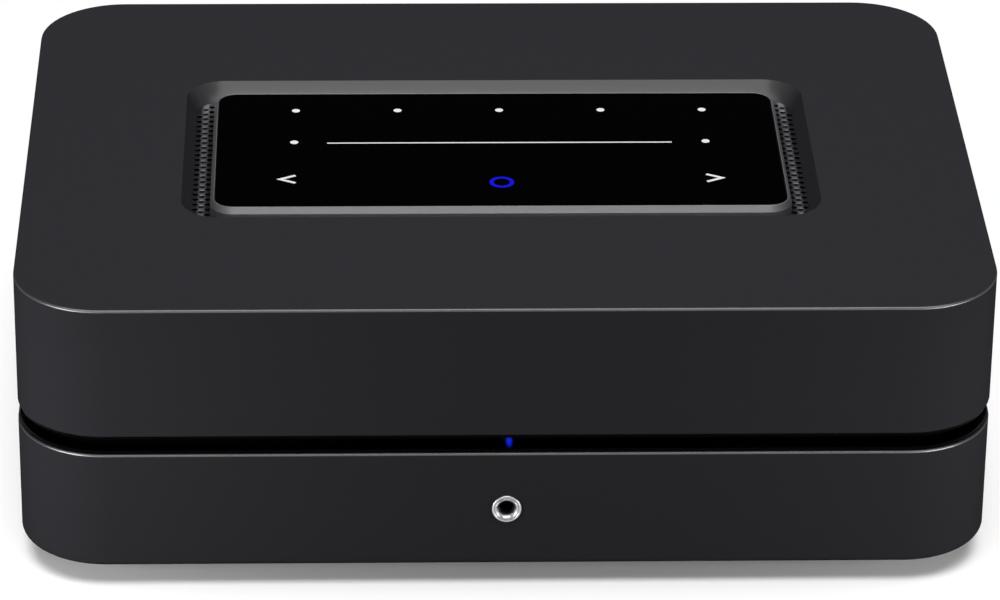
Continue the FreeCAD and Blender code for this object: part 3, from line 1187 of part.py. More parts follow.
def make_boards():
    main_mid = f"({MAIN_Y} - {MIDDLE})"
    main_front = f"({main_mid} - main_length / 2)"
    behind_screws = f"({MAIN_REAR} - {MIDDLE} - main_screw_rear + 12)"
    main_chips = [("0", f"{RIBBON_END} - ribbon_thick / 2", "ribbon_width + 3", "4", "ribbon_connector_height"),
                  (f"{MAIN_X} + 24", behind_screws, "9", "9", "1.2"),
                  (f"{MAIN_X} + 22", f"{main_front} + 22", "7", "12", "1.6"),
                  (f"{MAIN_LEFT} + 16", f"{main_front} + 5.5", "8", "4", "1.4")]
    board("main_board", MAIN_X, main_mid, MAIN_WIDTH, "main_length", BOARD_LOW,
          board_screw_places("main"), main_chips)
    power_chips = [(f"{POWER_X} + 18", f"{POWER_Y} + 12", "10", "4", "16"),
                   (f"{POWER_X} + 18", f"{POWER_Y} - 1", "10", "8", "9"),
                   (f"{POWER_X} + 19", f"{POWER_Y} - 12", "10", "4", "16")]
    board("power_board", POWER_X, POWER_Y, "power_width", "power_length", BOARD_LOW,
          board_screw_places("power"), power_chips)
    drive_chips = [(f"{DRIVE_X} - 10", f"{DRIVE_Y} - 45", "14", "5", "7"),
                   (f"{DRIVE_X} + 10", f"{DRIVE_Y} - 45", "10", "6", "5")]
    board("amplifier_board", DRIVE_X, DRIVE_Y, "drive_width", "drive_length", BOARD_LOW,
          board_screw_places("drive"), drive_chips)
    lamp_y = f"{PIPE_FRONT} - {MIDDLE} + pipe_reach - pipe_tall / 2"
    lamp = [("0", lamp_y, "pipe_width", "pipe_tall", "lamp_height")]
    board("front_board", "0", f"{FRONT_BOARD_Y} - {MIDDLE}", "front_width", "front_length",
          FRONT_BOARD_LOW, front_screw_places(), lamp)


def make_board_screws():
    shank = ("board_screw_radius", "board_screw_length")
    head = ("board_head_radius", "board_head_height")
    places = [(place_of, BOARD_TOP) for name in ("main", "power", "drive")
              for place_of in board_screw_places(name)]
    places += [(place_of, FRONT_BOARD_TOP) for place_of in front_screw_places()]
    screws = [screw(f"board_screw_{index}", x, f"{MIDDLE} + {y}", (seat, "down"), shank, head)
              for index, ((x, y), seat) in enumerate(places)]
    keep(group("board_screws", screws), "board_screws")


def make_amplifier_parts():
    """Amplifier chips under a finned heat sink, and the output filter coils."""
    middle_y = f"({MIDDLE} + {DRIVE_Y} - 10)"
    chips = []
    for index, side in enumerate((-0.5, 0.5)):
        y = f"({middle_y} + {side} * chip_spread)"
        chips.append(centred(f"chip_{index}", DRIVE_X, "chip_width",
                             (f"{y} - chip_length / 2", f"{y} + chip_length / 2"),
                             (BOARD_TOP, f"{BOARD_TOP} + chip_thick")))
    keep(group("amplifier_chips", chips), "amplifier_chips")
    sink = start_body("heat_sink", x=DRIVE_X, y=middle_y, z=f"{BOARD_TOP} + chip_thick")
    pad(sink, rectangle(sketch_on(sink, "base"), "sink_width", "sink_length"), "sink_base")
    fin = rectangle(sketch_on(sink, "fin", level="sink_base / 2"), "sink_fin", "sink_length",
                    x="(sink_fin - sink_width) / 2")
    fins = 8
    row_of(sink, pad(sink, fin, "sink_fin_height + sink_base / 2"), fin, "H_Axis", "sink_pitch", fins)
    coils = []
    for index in range(4):
        x = f"({DRIVE_X} + {index - 1.5} * coil_pitch)"
        y = f"({MIDDLE} + {DRIVE_Y} + drive_length / 2 - coil_back - coil_size)"
        coils.append(centred(f"coil_{index}", x, "coil_size", (y, f"{y} + coil_size"),
                             (BOARD_TOP, f"{BOARD_TOP} + coil_tall")))
    keep(group("output_coils", coils), "output_coils")


def make_power_parts():
    """Transformer, reservoir capacitors and the mains choke."""
    y = f"({MIDDLE} + {POWER_Y})"
    x = f"({POWER_X} - 8)"
    core = centred("core_block", x, "core_width", (f"{y} - core_length / 2", f"{y} + core_length / 2"),
                   (BOARD_TOP, f"{BOARD_TOP} + core_tall"))
    inside = "(core_width - 2 * core_arm)"
    window = centred("core_window", x, inside, (f"{y} - core_length", f"{y} + core_length"),
                     (f"{BOARD_TOP} + core_arm", f"{BOARD_TOP} + core_tall - core_arm"))
    keep(cut("transformer_core", core, [window]), "transformer_core")
    winding = place(doc.addObject("Part::Cylinder", "transformer_winding"), x, y,
                    f"{BOARD_TOP} + core_arm + winding_gap")
    bind(winding, Radius=f"{inside} / 2 - winding_gap", Height="core_tall - 2 * core_arm - 2 * winding_gap")
    keep(winding, "transformer_winding")
    cans = []
    for index, across in enumerate((-12, 8)):
        can = place(doc.addObject("Part::Cylinder", f"can_{index}"), f"{POWER_X} + {across}",
                    f"{y} - 22", BOARD_TOP)
        cans.append(bind(can, Radius="can_radius", Height="can_tall"))
    keep(group("reservoir_capacitors", cans), "reservoir_capacitors")
    choke_x, choke_y = f"{POWER_X} + 3", f"{y} + 21"
    ring = rod("choke_ring", "z", "choke_radius", "choke_tall", choke_x, choke_y, BOARD_TOP)
    eye = rod("choke_eye", "z", "choke_eye", "3 * choke_tall", choke_x, choke_y,
              f"{BOARD_TOP} - choke_tall")
    keep(cut("mains_choke", ring, [eye]), "mains_choke")


def make_streaming_module():
    """Radio and processor module on the main board, under a shield can."""
    x = f"({MAIN_X} - 6)"
    y = f"({MAIN_Y} - 8)"
    half = "module_length / 2"
    low = centred("module_board_block", x, "module_width", (f"{y} - {half}", f"{y} + {half}"),
                  (BOARD_TOP, f"{BOARD_TOP} + module_board"))
    can = centred("module_can", x, "module_width - 2 * shield_inset",
                  (f"{y} - {half} + shield_inset", f"{y} + {half} - shield_inset"),
                  (f"{BOARD_TOP} + module_board", f"{BOARD_TOP} + module_board + shield_tall"))
    keep(group("streaming_module", [low, can]), "streaming_module")


def make_aerials():
    """Two small radio aerials stuck to the inside of the upper shell's side walls."""
    strips = []
    for index, side in enumerate((-1, 1)):
        outer = "(case_width / 2 - case_wall)"
        inner = f"({outer} - aerial_thick)"
        x = (f"-{outer}", f"-{inner}") if side < 0 else (inner, outer)
        y = f"({MIDDLE} + aerial_y)"
        low = f"({UPPER_RIM} + aerial_height)"
        strips.append(block(f"aerial_{index}", x, (f"{y} - aerial_length / 2", f"{y} + aerial_length / 2"),
                            (low, f"{low} + aerial_tall")))
    keep(group("radio_aerials", strips), "radio_aerials")


def bent_lead(radius, points):
    """An insulated wire, six-sided, whose square corners are cut across by short slanted runs."""
    bend = number("lead_bend")
    corners = [FreeCAD.Vector(*(number(part) for part in point)) for point in points]
    path = [corners[0]]
    for before, corner, after in zip(corners, corners[1:], corners[2:]):
        path += [corner + (before - corner).normalize() * bend, corner + (after - corner).normalize() * bend]
    path.append(corners[-1])
    sides = 6
    across = X_AXIS * number(radius)
    along = corners[1] - corners[0]
    section = [corners[0] + FreeCAD.Rotation(along, 360 * side / sides).multVec(across)
               for side in range(sides + 1)]
    mitred = 1
    return Part.makePolygon(path).makePipeShell([Part.makePolygon(section)], True, False, mitred)


def make_leads():
    """Wires from the amplifier board to the studs, and from the inlet to the power board."""
    shapes = []
    for index in POST_NUMBERS:
        y = f"({PANEL} - stud_in)"
        run = f"({MIDDLE} + {DRIVE_Y} + drive_length / 2 - lead_back)"
        x = post_x(index)
        shapes.append(bent_lead("lead_radius", [(x, y, SOCKET_MID), (x, run, SOCKET_MID),
                                                (x, run, BOARD_TOP)]))
    wires = doc.addObject("Part::Feature", "speaker_leads")
    wires.Shape = Part.makeCompound(shapes)
    place(wires, "0", "0", "0")
    keep(wires, "speaker_leads")
    shapes = []
    for side in (-1, 1):
        x = f"({INLET_X} + {side} * pin_pitch / 2)"
        y = f"({PANEL} - inlet_length - pin_tail)"
        run = f"({MIDDLE} + {POWER_Y} + power_length / 2 - 3 * board_edge)"
        shapes.append(bent_lead("mains_lead_radius", [(x, y, SOCKET_MID), (x, run, SOCKET_MID),
                                                      (x, run, BOARD_TOP)]))
    wires = doc.addObject("Part::Feature", "mains_leads")
    wires.Shape = Part.makeCompound(shapes)
    place(wires, "0", "0", "0")
    keep(wires, "mains_leads")


make_top_shell()
make_vent_grille()
make_grille_screws()
make_touch_bezel()
make_touch_stack()
make_touch_ribbon()
make_waist_band()
make_light_pipe()
make_bottom_shell()
make_base_plate()
make_feet()
make_case_screws()
make_rear_panel()
make_terminal_block()
make_terminal_studs()
make_clamp_washers()
make_terminal_caps()
make_terminal_nuts()
make_mains_inlet()
make_network_socket()
make_flat_sockets()
make_round_sockets()
make_headphone_ring()
make_subwoofer_socket()
make_boards()
make_board_screws()
make_amplifier_parts()
make_power_parts()
make_streaming_module()
make_aerials()
make_leads()
doc.recompute()

for thing in doc.Objects:
    if "Invalid" in thing.State or "Error" in thing.State:
        raise RuntimeError(f"{thing.Name} failed: {thing.State}")
    if thing.TypeId == "PartDesign::Pocket":
        before = thing.BaseFeature.Shape.Volume
        if thing.Shape.Volume > before - 1e-6:
            raise RuntimeError(f"{thing.Name} takes nothing away")
os.makedirs("parts", exist_ok=True)
for piece in pieces:
    if piece.Shape.isNull() or not piece.Shape.isValid():
        raise RuntimeError(f"{piece.Label} has no valid shape")
for piece in pieces:
    piece.Shape.exportStep(f"parts/{piece.Label}.step")
print("sub-parts", len(pieces))
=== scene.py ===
# %% [markdown]
# # A streaming amplifier with a touch island
# The amplifier is two satin charcoal half shells that seem to float on a black waist
# groove. A well in the roof holds a black glass touch island with a bevelled rim, and
# the strips of the well beside the island are pierced as vents. This lesson dresses the
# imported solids: it sets the camera and the light, gives each finish a node material,
# and adds the vent sheet, the socket's ring and the marks that the solids leave to it.

# %% The frame of solids
import json
import math
import bmesh
import bpy
from mathutils import Matrix, Vector


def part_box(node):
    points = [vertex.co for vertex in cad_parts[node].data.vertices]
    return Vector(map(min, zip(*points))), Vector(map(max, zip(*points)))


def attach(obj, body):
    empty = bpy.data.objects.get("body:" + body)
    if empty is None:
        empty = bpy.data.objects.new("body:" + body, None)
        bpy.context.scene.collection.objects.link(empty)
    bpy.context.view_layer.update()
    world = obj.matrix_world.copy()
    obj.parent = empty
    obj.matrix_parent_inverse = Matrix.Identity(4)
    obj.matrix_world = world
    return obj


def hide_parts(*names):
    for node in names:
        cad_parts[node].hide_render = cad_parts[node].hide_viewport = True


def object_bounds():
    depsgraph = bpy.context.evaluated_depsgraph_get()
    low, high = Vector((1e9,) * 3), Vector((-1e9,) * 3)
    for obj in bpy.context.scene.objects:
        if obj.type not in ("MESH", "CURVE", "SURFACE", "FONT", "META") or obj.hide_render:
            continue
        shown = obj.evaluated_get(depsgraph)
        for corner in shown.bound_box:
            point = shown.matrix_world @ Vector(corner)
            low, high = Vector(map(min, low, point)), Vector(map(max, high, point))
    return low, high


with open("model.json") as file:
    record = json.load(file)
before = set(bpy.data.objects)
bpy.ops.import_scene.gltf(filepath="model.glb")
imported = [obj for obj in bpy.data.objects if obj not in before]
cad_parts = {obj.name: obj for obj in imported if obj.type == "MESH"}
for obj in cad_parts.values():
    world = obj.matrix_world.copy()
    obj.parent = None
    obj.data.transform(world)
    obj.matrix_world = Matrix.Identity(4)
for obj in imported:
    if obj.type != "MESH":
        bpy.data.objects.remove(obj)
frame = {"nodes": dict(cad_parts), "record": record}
CAD_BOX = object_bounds()
MM = 0.001
print("solids' box", [[round(value, 4) for value in corner] for corner in CAD_BOX])

# %% [markdown]
# ## Camera
# The place, tilt and lens were worked out from the outline of the case: a long lens
# (184 mm on a 36 mm sensor) a little over a metre away, looking down by 27 degrees.
# A matrix of the camera's three directions is the plainest way to repeat such a fit.

# %% Putting things in the scene
def put_in_scene(name, data):
    """Make an object from its data and show it in the scene."""
    made = bpy.data.objects.new(name, data)
    bpy.context.scene.collection.objects.link(made)
    return made


# %% Camera
LENS, SENSOR = 183.58, 36
CAMERA_PLACE = Vector((-36.87, -1083.72, 588.62)) * MM
PITCH, YAW, ROLL = 0.478734, 0.0350105, 0.0119385
across = Vector((math.cos(YAW), -math.sin(YAW), 0))
upward = Vector((math.sin(PITCH) * math.sin(YAW), math.sin(PITCH) * math.cos(YAW),
                 math.cos(PITCH)))
ahead = Vector((math.cos(PITCH) * math.sin(YAW), math.cos(PITCH) * math.cos(YAW),
                -math.sin(PITCH)))
right = across * math.cos(ROLL) + upward * math.sin(ROLL)
up = upward * math.cos(ROLL) - across * math.sin(ROLL)
turn = Matrix((right, up, -ahead)).transposed().to_4x4()

camera = put_in_scene("camera", bpy.data.cameras.new("camera"))
camera.data.lens, camera.data.sensor_width = LENS, SENSOR
camera.matrix_world = Matrix.Translation(CAMERA_PLACE) @ turn
bpy.context.scene.camera = camera
bpy.context.scene.view_settings.view_transform = "Standard"
print("camera", [round(value, 3) for value in CAMERA_PLACE], "lens", LENS)

# %% [markdown]
# ## Light
# Such a product is shot in a dark room with soft boxes. A large one overhead lights
# the roof, and one in front, near the camera's height, draws the bevel and the back
# wall of the well. Two small ones close to the front corners, lower than the roof, lift
# the round corners and leave the middle of the front dark. A low one behind keeps the
# sockets readable, and stays under the roof so that the glass doesn't mirror it.

# %% Soft boxes
AIM = Vector((0, -0.01, 0.04))
SOFT_BOXES = {
    # name: (place, width, height, power), in metres and watts.
    "overhead_box": ((0.0, -0.05, 1.25), 1.5, 1.1, 28.0),
    "front_box": ((0.0, -1.50, 0.84), 1.0, 0.26, 1.6),
    "front_left_box": ((-0.205, -0.195, 0.045), 0.12, 0.06, 0.34),
    "front_right_box": ((0.205, -0.195, 0.045), 0.12, 0.06, 0.24),
    "rear_box": ((0.0, 0.60, 0.032), 0.50, 0.05, 1.6),
}
for box_name, (box_place, width, height, power) in SOFT_BOXES.items():
    light = bpy.data.lights.new(box_name, "AREA")
    light.shape = "RECTANGLE"
    light.size, light.size_y, light.energy = width, height, power
    box = put_in_scene(box_name, light)
    aimed = (AIM - Vector(box_place)).to_track_quat("-Z", "Y").to_matrix().to_4x4()
    box.matrix_world = Matrix.Translation(box_place) @ aimed
    box.visible_camera = False
print("soft boxes", len(SOFT_BOXES))

# %% [markdown]
# ## Two helpers for nodes
# Colours are written as the hex values that a painter would pick on a screen, so one
# function turns them into linear light. A second one adds any node, with its settings
# and with what feeds its sockets, which keeps each recipe short enough to read. The
# feeds are a list in the sockets' order, or named one by one where some are left alone.

# %% Colours and nodes
def linear(hex_colour):
    """A hex colour as linear red, green, blue and alpha."""
    parts = [int(hex_colour[start:start + 2], 16) / 255 for start in (1, 3, 5)]
    return tuple(part / 12.92 if part <= 0.04045 else ((part + 0.055) / 1.055) ** 2.4
                 for part in parts) + (1,)


def add(tree, kind, feeds=(), **settings):
    """Add one node, set it up, and feed its sockets with values, sockets or nodes."""
    made = tree.nodes.new(kind)
    for setting, value in settings.items():
        setattr(made, setting, value)
    for socket, value in (feeds if isinstance(feeds, dict) else dict(enumerate(feeds))).items():
        if isinstance(value, bpy.types.Node):
            value = value.outputs[0]
        if isinstance(value, bpy.types.NodeSocket):
            tree.links.new(value, made.inputs[socket])
        else:
            made.inputs[socket].default_value = value
    return made


# %% [markdown]
# ## Room and floor
# Behind the object everything is white to the camera, but the room gives only a little
# light, more from near the horizon. The floor is a pale sheet that fades to plain white
# away from the case, so the soft shadow under the case stays and the rest is clean. To
# the light that bounces it is grey, because a white sheet would lift the dark walls.

# %% Room
ROOM_LOW, ROOM_HIGH = 0.3, 0.06
HORIZON_FROM, HORIZON_TO = 0.05, 0.25   # how far up a direction looks, from 0 to 1
world = bpy.data.worlds.new("studio")
bpy.context.scene.world = world
world.use_nodes = True
room = world.node_tree
room.nodes.clear()
seen = add(room, "ShaderNodeLightPath").outputs["Is Camera Ray"]
heading = add(room, "ShaderNodeTexCoord").outputs["Generated"]
looking_up = add(room, "ShaderNodeSeparateXYZ", [heading]).outputs["Z"]
horizon = add(room, "ShaderNodeMapRange", [looking_up, HORIZON_FROM, HORIZON_TO,
                                           ROOM_LOW, ROOM_HIGH])
strength = add(room, "ShaderNodeMix", {0: seen, 2: horizon, 3: 1.0})
backdrop = add(room, "ShaderNodeBackground", {"Color": linear("#ffffff"), "Strength": strength})
add(room, "ShaderNodeOutputWorld", [backdrop])
print("room", ROOM_LOW, "to", ROOM_HIGH)

# %% A material with one shader
def new_material(name, shader_kind="ShaderNodeBsdfPrincipled", **feeds):
    """A material with one shader; returns the material, its tree and the shader."""
    material = bpy.data.materials.new(name)
    material.use_nodes = True
    tree = material.node_tree
    tree.nodes.clear()
    shader = add(tree, shader_kind, {key.replace("_", " "): value for key, value in feeds.items()})
    add(tree, "ShaderNodeOutputMaterial", [shader])
    return material, tree, shader


# %% Floor
CASE_HALF, CASE_MIDDLE = (0.105, 0.078, 0.0), (0.0, -0.007, 0.0)
FLOOR_SIZE, FADE_START, FADE_END = 8.0, 0.001, 0.020
PAPER_SEEN, PAPER_IN_BOUNCES = "#f4f4f4", "#8c8c8c"
bpy.ops.mesh.primitive_plane_add(size=FLOOR_SIZE)
floor = bpy.context.object
floor.name = "floor"
paper, tree, shader = new_material("pale_paper_floor", "ShaderNodeBsdfDiffuse")
place = add(tree, "ShaderNodeTexCoord").outputs["Object"]
off_middle = add(tree, "ShaderNodeVectorMath", [place, CASE_MIDDLE], operation="SUBTRACT")
one_corner = add(tree, "ShaderNodeVectorMath", [off_middle], operation="ABSOLUTE")
past_case = add(tree, "ShaderNodeVectorMath", [one_corner, CASE_HALF], operation="SUBTRACT")
outside = add(tree, "ShaderNodeVectorMath", [past_case, (0, 0, 0)], operation="MAXIMUM")
distance = add(tree, "ShaderNodeVectorMath", [outside], operation="LENGTH").outputs["Value"]
fade = add(tree, "ShaderNodeMapRange", [distance, FADE_START, FADE_END, 0.0, 1.0])
ray = add(tree, "ShaderNodeLightPath").outputs
shade = add(tree, "ShaderNodeMix", {0: ray["Is Camera Ray"], 6: linear(PAPER_IN_BOUNCES),
                                    7: linear(PAPER_SEEN)}, data_type="RGBA")
tree.links.new(shade.outputs[2], shader.inputs["Color"])
seen_direct = add(tree, "ShaderNodeMath", [ray["Is Camera Ray"], ray["Is Glossy Ray"]],
                  operation="ADD")
seen_at_all = add(tree, "ShaderNodeMath", [seen_direct, ray["Is Transmission Ray"]],
                  operation="ADD", use_clamp=True)
white_share = add(tree, "ShaderNodeMath", [seen_at_all, fade], operation="MULTIPLY")
white_glow = add(tree, "ShaderNodeEmission", {"Color": linear("#ffffff"), "Strength": 1.0})
paper_mix = add(tree, "ShaderNodeMixShader", [white_share, shader, white_glow])
tree.links.new(paper_mix.outputs[0], tree.nodes["Material Output"].inputs["Surface"])
floor.data.materials.append(paper)
print("floor fades to white from", FADE_START, "to", FADE_END, "m")

# %% [markdown]
# ## Grain
# Nearly every finish here is a fine random relief: sprayed paint, spark-eroded mould
# walls, blasted aluminium. One recipe serves them all: a noise whose cell size comes
# from millimetres moves the colour between two shades, moves the roughness, and feeds
# a bump. What differs from finish to finish is the size, the height and the stretch.

# %% Grain recipe
NOISE_DETAIL, NOISE_ROUGHNESS = 3.0, 0.55
NOISE_LOW, NOISE_HIGH = 0.3, 0.7   # nearly all of the noise lies between these


def grain(tree, shader, shades, roughness, cell_mm, height_mm, stretch=(1, 1, 1)):
    """Mottle the colour and the roughness and raise a bump, with cells of a real size."""
    place = add(tree, "ShaderNodeTexCoord").outputs["Object"]
    drawn_out = add(tree, "ShaderNodeMapping", {"Vector": place, "Scale": stretch})
    noise = add(tree, "ShaderNodeTexNoise", {"Vector": drawn_out, "Scale": 1 / (cell_mm * MM),
                                             "Detail": NOISE_DETAIL,
                                             "Roughness": NOISE_ROUGHNESS}).outputs["Fac"]
    first, last = (linear(shade) for shade in shades)
    mottle = add(tree, "ShaderNodeMix", {0: noise, 6: first, 7: last}, data_type="RGBA")
    rough = add(tree, "ShaderNodeMapRange", [noise, NOISE_LOW, NOISE_HIGH, *roughness])
    relief = add(tree, "ShaderNodeBump", {"Height": noise, "Strength": 1.0,
                                          "Distance": height_mm * MM})
    tree.links.new(mottle.outputs[2], shader.inputs["Base Color"])
    tree.links.new(rough.outputs[0], shader.inputs["Roughness"])
    tree.links.new(relief.outputs[0], shader.inputs["Normal"])


# %% [markdown]
# ## Edges and corners in the shading
# A mould or a blast leaves no knife edge, so the shading rounds every edge a little.
# The well's wall and the island's bevel lean evenly all the way round, but the solid's
# corners are facets that would mirror the light in steps. There the direction comes from
# the place instead: away from the straight part of the outline, and up by the lean.

# %% Soft edges
EDGE_SAMPLES = 6


def soft_edge(tree, shader, radius_mm):
    """Round the sharp edges below the shader's bump."""
    edge = add(tree, "ShaderNodeBevel", {"Radius": radius_mm * MM}, samples=EDGE_SAMPLES)
    relief = shader.inputs["Normal"].links[0].from_node
    tree.links.new(edge.outputs[0], relief.inputs["Normal"])


# %% Even corners
ROOF = CAD_BOX[1][2]
TOP_ROUNDING = 0.3 * MM
WALL_REACH = 9.5 * MM     # the leaning walls end within this of the straight part
WALL_LIKENESS = 0.06      # a face whose lean differs by more is no part of the wall


def even_corners(tree, shader, middle, straight, lean):
    """Shade the leaning wall round a rounded rectangle as one even sweep.

    straight is half the size of the outline without its corners; lean is the wall's own
    direction, sideways and up. Returns the direction that the shader now uses.
    """
    place = add(tree, "ShaderNodeTexCoord").outputs["Object"]
    off = add(tree, "ShaderNodeVectorMath", [place, middle], operation="SUBTRACT")
    one_corner = add(tree, "ShaderNodeVectorMath", [off], operation="ABSOLUTE")
    over = add(tree, "ShaderNodeVectorMath", [one_corner, straight + (1.0,)],
               operation="SUBTRACT")
    beyond = add(tree, "ShaderNodeVectorMath", [over, (0, 0, 0)], operation="MAXIMUM")
    quarter = add(tree, "ShaderNodeVectorMath", [off], operation="SIGN")
    outward = add(tree, "ShaderNodeVectorMath", [beyond, quarter], operation="MULTIPLY")
    heading = add(tree, "ShaderNodeVectorMath", [outward], operation="NORMALIZE")
    level = add(tree, "ShaderNodeVectorMath", [heading, (lean[0], lean[0], 0)],
                operation="MULTIPLY")
    wall = add(tree, "ShaderNodeVectorMath", [level, (0, 0, lean[1])], operation="ADD")
    facet = add(tree, "ShaderNodeNewGeometry").outputs["True Normal"]
    own_lean = add(tree, "ShaderNodeSeparateXYZ", [facet]).outputs["Z"]
    like_wall = add(tree, "ShaderNodeMath", [own_lean, lean[1], WALL_LIKENESS],
                    operation="COMPARE")
    reach = add(tree, "ShaderNodeVectorMath", [beyond], operation="LENGTH").outputs["Value"]
    near = add(tree, "ShaderNodeMath", [reach, WALL_REACH], operation="LESS_THAN")
    height = add(tree, "ShaderNodeSeparateXYZ", [place]).outputs["Z"]
    below_top = add(tree, "ShaderNodeMapRange", [height, ROOF, ROOF - TOP_ROUNDING, 0.0, 1.0])
    on_wall = add(tree, "ShaderNodeMath", [like_wall, near], operation="MULTIPLY")
    share = add(tree, "ShaderNodeMath", [on_wall, below_top], operation="MULTIPLY")
    relief = shader.inputs["Normal"].links[0].from_node
    before = relief.inputs["Normal"].links[0].from_socket
    mixed = add(tree, "ShaderNodeMix", {0: share, 4: before, 5: wall}, data_type="VECTOR")
    tree.links.new(mixed.outputs[1], relief.inputs["Normal"])
    return mixed.outputs[1]


# %% [markdown]
# ## Paint, bevel and sheet
# Both shells carry the same fine satin paint, a charcoal with a trace of violet. Real
# paint has pores of about 0.1 mm; they are drawn at 0.35 mm so that they still show.
# Flat and upright faces mirror nothing, which keeps the front almost as dark as the
# groove. On the rims and on the well's wall, which lean, the wet paint drew smooth, so a
# clear coat shows there: it grows with the lean, and with how far the face looks along Y.

# %% Shell paint
finishes = {}
glass_low, glass_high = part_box("touch_glass")
island_middle = tuple((low + high) / 2 for low, high in zip(glass_low[:2], glass_high[:2])) + (0.0,)
WELL_STRAIGHT, WELL_LEAN = (64.5 * MM, 27.8 * MM), (-0.898, 0.439)
COAT_FROM, COAT_FULL, COAT_MOST = 0.02, 0.2, 0.95   # of the lean times the look along Y

# Satin paint, sprayed: even and dark.
material, tree, shader = new_material("satin_paint_sprayed", Specular_IOR_Level=0.0,
                                      Coat_Roughness=0.36, Coat_IOR=2.5)
grain(tree, shader, ("#222124", "#29282b"), (0.42, 0.50), cell_mm=0.35, height_mm=0.002)
soft_edge(tree, shader, radius_mm=0.12)
shown = even_corners(tree, shader, island_middle, WELL_STRAIGHT, WELL_LEAN)
facing = add(tree, "ShaderNodeSeparateXYZ", [shown]).outputs
flatness = add(tree, "ShaderNodeMath", [1.0, facing["Z"]], operation="SUBTRACT")
leaning = add(tree, "ShaderNodeMath", [facing["Z"], flatness], operation="MULTIPLY")
along_y = add(tree, "ShaderNodeMath", [facing["Y"]], operation="ABSOLUTE")
rim = add(tree, "ShaderNodeMath", [leaning, along_y], operation="MULTIPLY")
coat = add(tree, "ShaderNodeMapRange", [rim, COAT_FROM, COAT_FULL, 0.0, COAT_MOST])
tree.links.new(coat.outputs[0], shader.inputs["Coat Weight"])
finishes["shell_satin"] = material
print("well's corners start at", [round(value, 4) for value in WELL_STRAIGHT])

# %% Bevel and punched sheet
ISLAND_STRAIGHT, BEVEL_LEAN = (61.5 * MM, 25.8 * MM), (0.876, 0.483)

# Anodised aluminium, bead-blasted: the island's rim, brighter than the paint round it.
material, tree, shader = new_material("anodised_aluminium_blasted", Metallic=1.0)
grain(tree, shader, ("#9c9da0", "#acadb0"), (0.42, 0.50), cell_mm=0.3, height_mm=0.002)
soft_edge(tree, shader, radius_mm=0.1)
even_corners(tree, shader, island_middle, ISLAND_STRAIGHT, BEVEL_LEAN)
finishes["bezel_satin"] = material

# Steel sheet, punched and zinc plated black: metallic, so its webs catch the light.
material, tree, shader = new_material("black_zinc_on_punched_steel", Metallic=1.0)
grain(tree, shader, ("#86868a", "#949498"), (0.34, 0.44), cell_mm=0.3, height_mm=0.003)
soft_edge(tree, shader, radius_mm=0.15)
finishes["grille_sheet"] = material
print("paints", len(finishes))

# %% [markdown]
# ## Plastics, rubber and boards
# The waist band, the rear panel, the sockets and the terminal plate are all black, and
# only their relief tells them apart: the band is smooth enough to mirror the status
# lamp, the mould walls of the sockets were spark-eroded, the rubber is dull. Inside,
# the boards are resist over glass fibre, whose weave of about 0.5 mm shows faintly. A
# table holds what each one is made of and how it was made.

# %% Everything that is no metal
PLAIN = {
    # slot: (name, shades, roughness, cell in mm, height in mm, reflection)
    # ABS, moulded in a polished tool: mirrors the lamp weakly.
    "band_black": ("abs_moulded_polished", ("#010102", "#020203"), (0.24, 0.30), 0.5, 0.001, 0.02),
    # Steel panel, powder coated: an orange peel of about a millimetre.
    "panel_black": ("powder_coat_on_steel", ("#101012", "#17171a"), (0.42, 0.55), 0.9, 0.012, 0.4),
    # Polyamide, moulded in a spark-eroded tool: dull, slightly grey.
    "moulded_black": ("polyamide_spark_eroded", ("#121214", "#1a1a1c"), (0.45, 0.58),
                      0.4, 0.008, 0.4),
    # Natural rubber, moulded: matt with a little bloom.
    "foot_rubber": ("rubber_moulded", ("#101011", "#1b1b1c"), (0.7, 0.85), 0.6, 0.01, 0.3),
    # Epoxy of a chip's body, moulded matt.
    "chip_black": ("epoxy_moulded", ("#161617", "#1e1e20"), (0.5, 0.6), 0.4, 0.004, 0.4),
    # Black solder resist on glass fibre board: glossy over a fine weave.
    "board_black": ("solder_resist_black", ("#0d0d10", "#141418"), (0.25, 0.35), 0.5, 0.003, 0.5),
    # Shrunk sleeve of a capacitor, glossy.
    "can_sleeve": ("pvc_sleeve_shrunk", ("#14182a", "#1a2036"), (0.2, 0.3), 1.2, 0.004, 0.5),
    # Insulation of the inner wires, extruded.
    "lead_sleeve": ("pvc_insulation_extruded", ("#1a1a1c", "#232325"), (0.4, 0.5),
                    0.6, 0.003, 0.4),
    # Ferrite, pressed and sintered: grainy and matt.
    "ferrite_grey": ("ferrite_sintered", ("#2a2a2c", "#3a3a3c"), (0.6, 0.75), 0.5, 0.012, 0.4),
    # Green solder resist, curtain coated.
    "board_green": ("solder_resist_green", ("#0f3a24", "#175233"), (0.28, 0.4), 0.5, 0.003, 0.5),
    # Polyester tape, wound round the windings.
    "winding_tape": ("polyester_tape_wound", ("#a8781e", "#c8952f"), (0.3, 0.42), 1.5, 0.006, 0.5),
    # Polyimide film of the flat cable, laminated.
    "ribbon_film": ("polyimide_film", ("#b7b2a4", "#c9c4b6"), (0.3, 0.4), 1.0, 0.002, 0.5),
    # White polymer core of a socket, moulded.
    "core_white": ("polymer_core_moulded", ("#d6d5cf", "#e4e3de"), (0.28, 0.36), 0.6, 0.002, 0.5),
    # Polyamide inside the headphone socket, moulded, with painted shade: near black, as the deep
    # bore gets no light.
    "jack_lining": ("socket_bore_painted_shade", ("#020202", "#040404"), (0.5, 0.6),
                    0.4, 0.001, 0.02),
    # ABS of the terminals' caps, moulded in red and in black.
    "cap_red": ("abs_moulded_red", ("#6e0c0e", "#86100f"), (0.24, 0.34), 0.5, 0.003, 0.5),
    "cap_black": ("abs_moulded_black", ("#0e0e0f", "#161617"), (0.24, 0.34), 0.5, 0.003, 0.5),
}
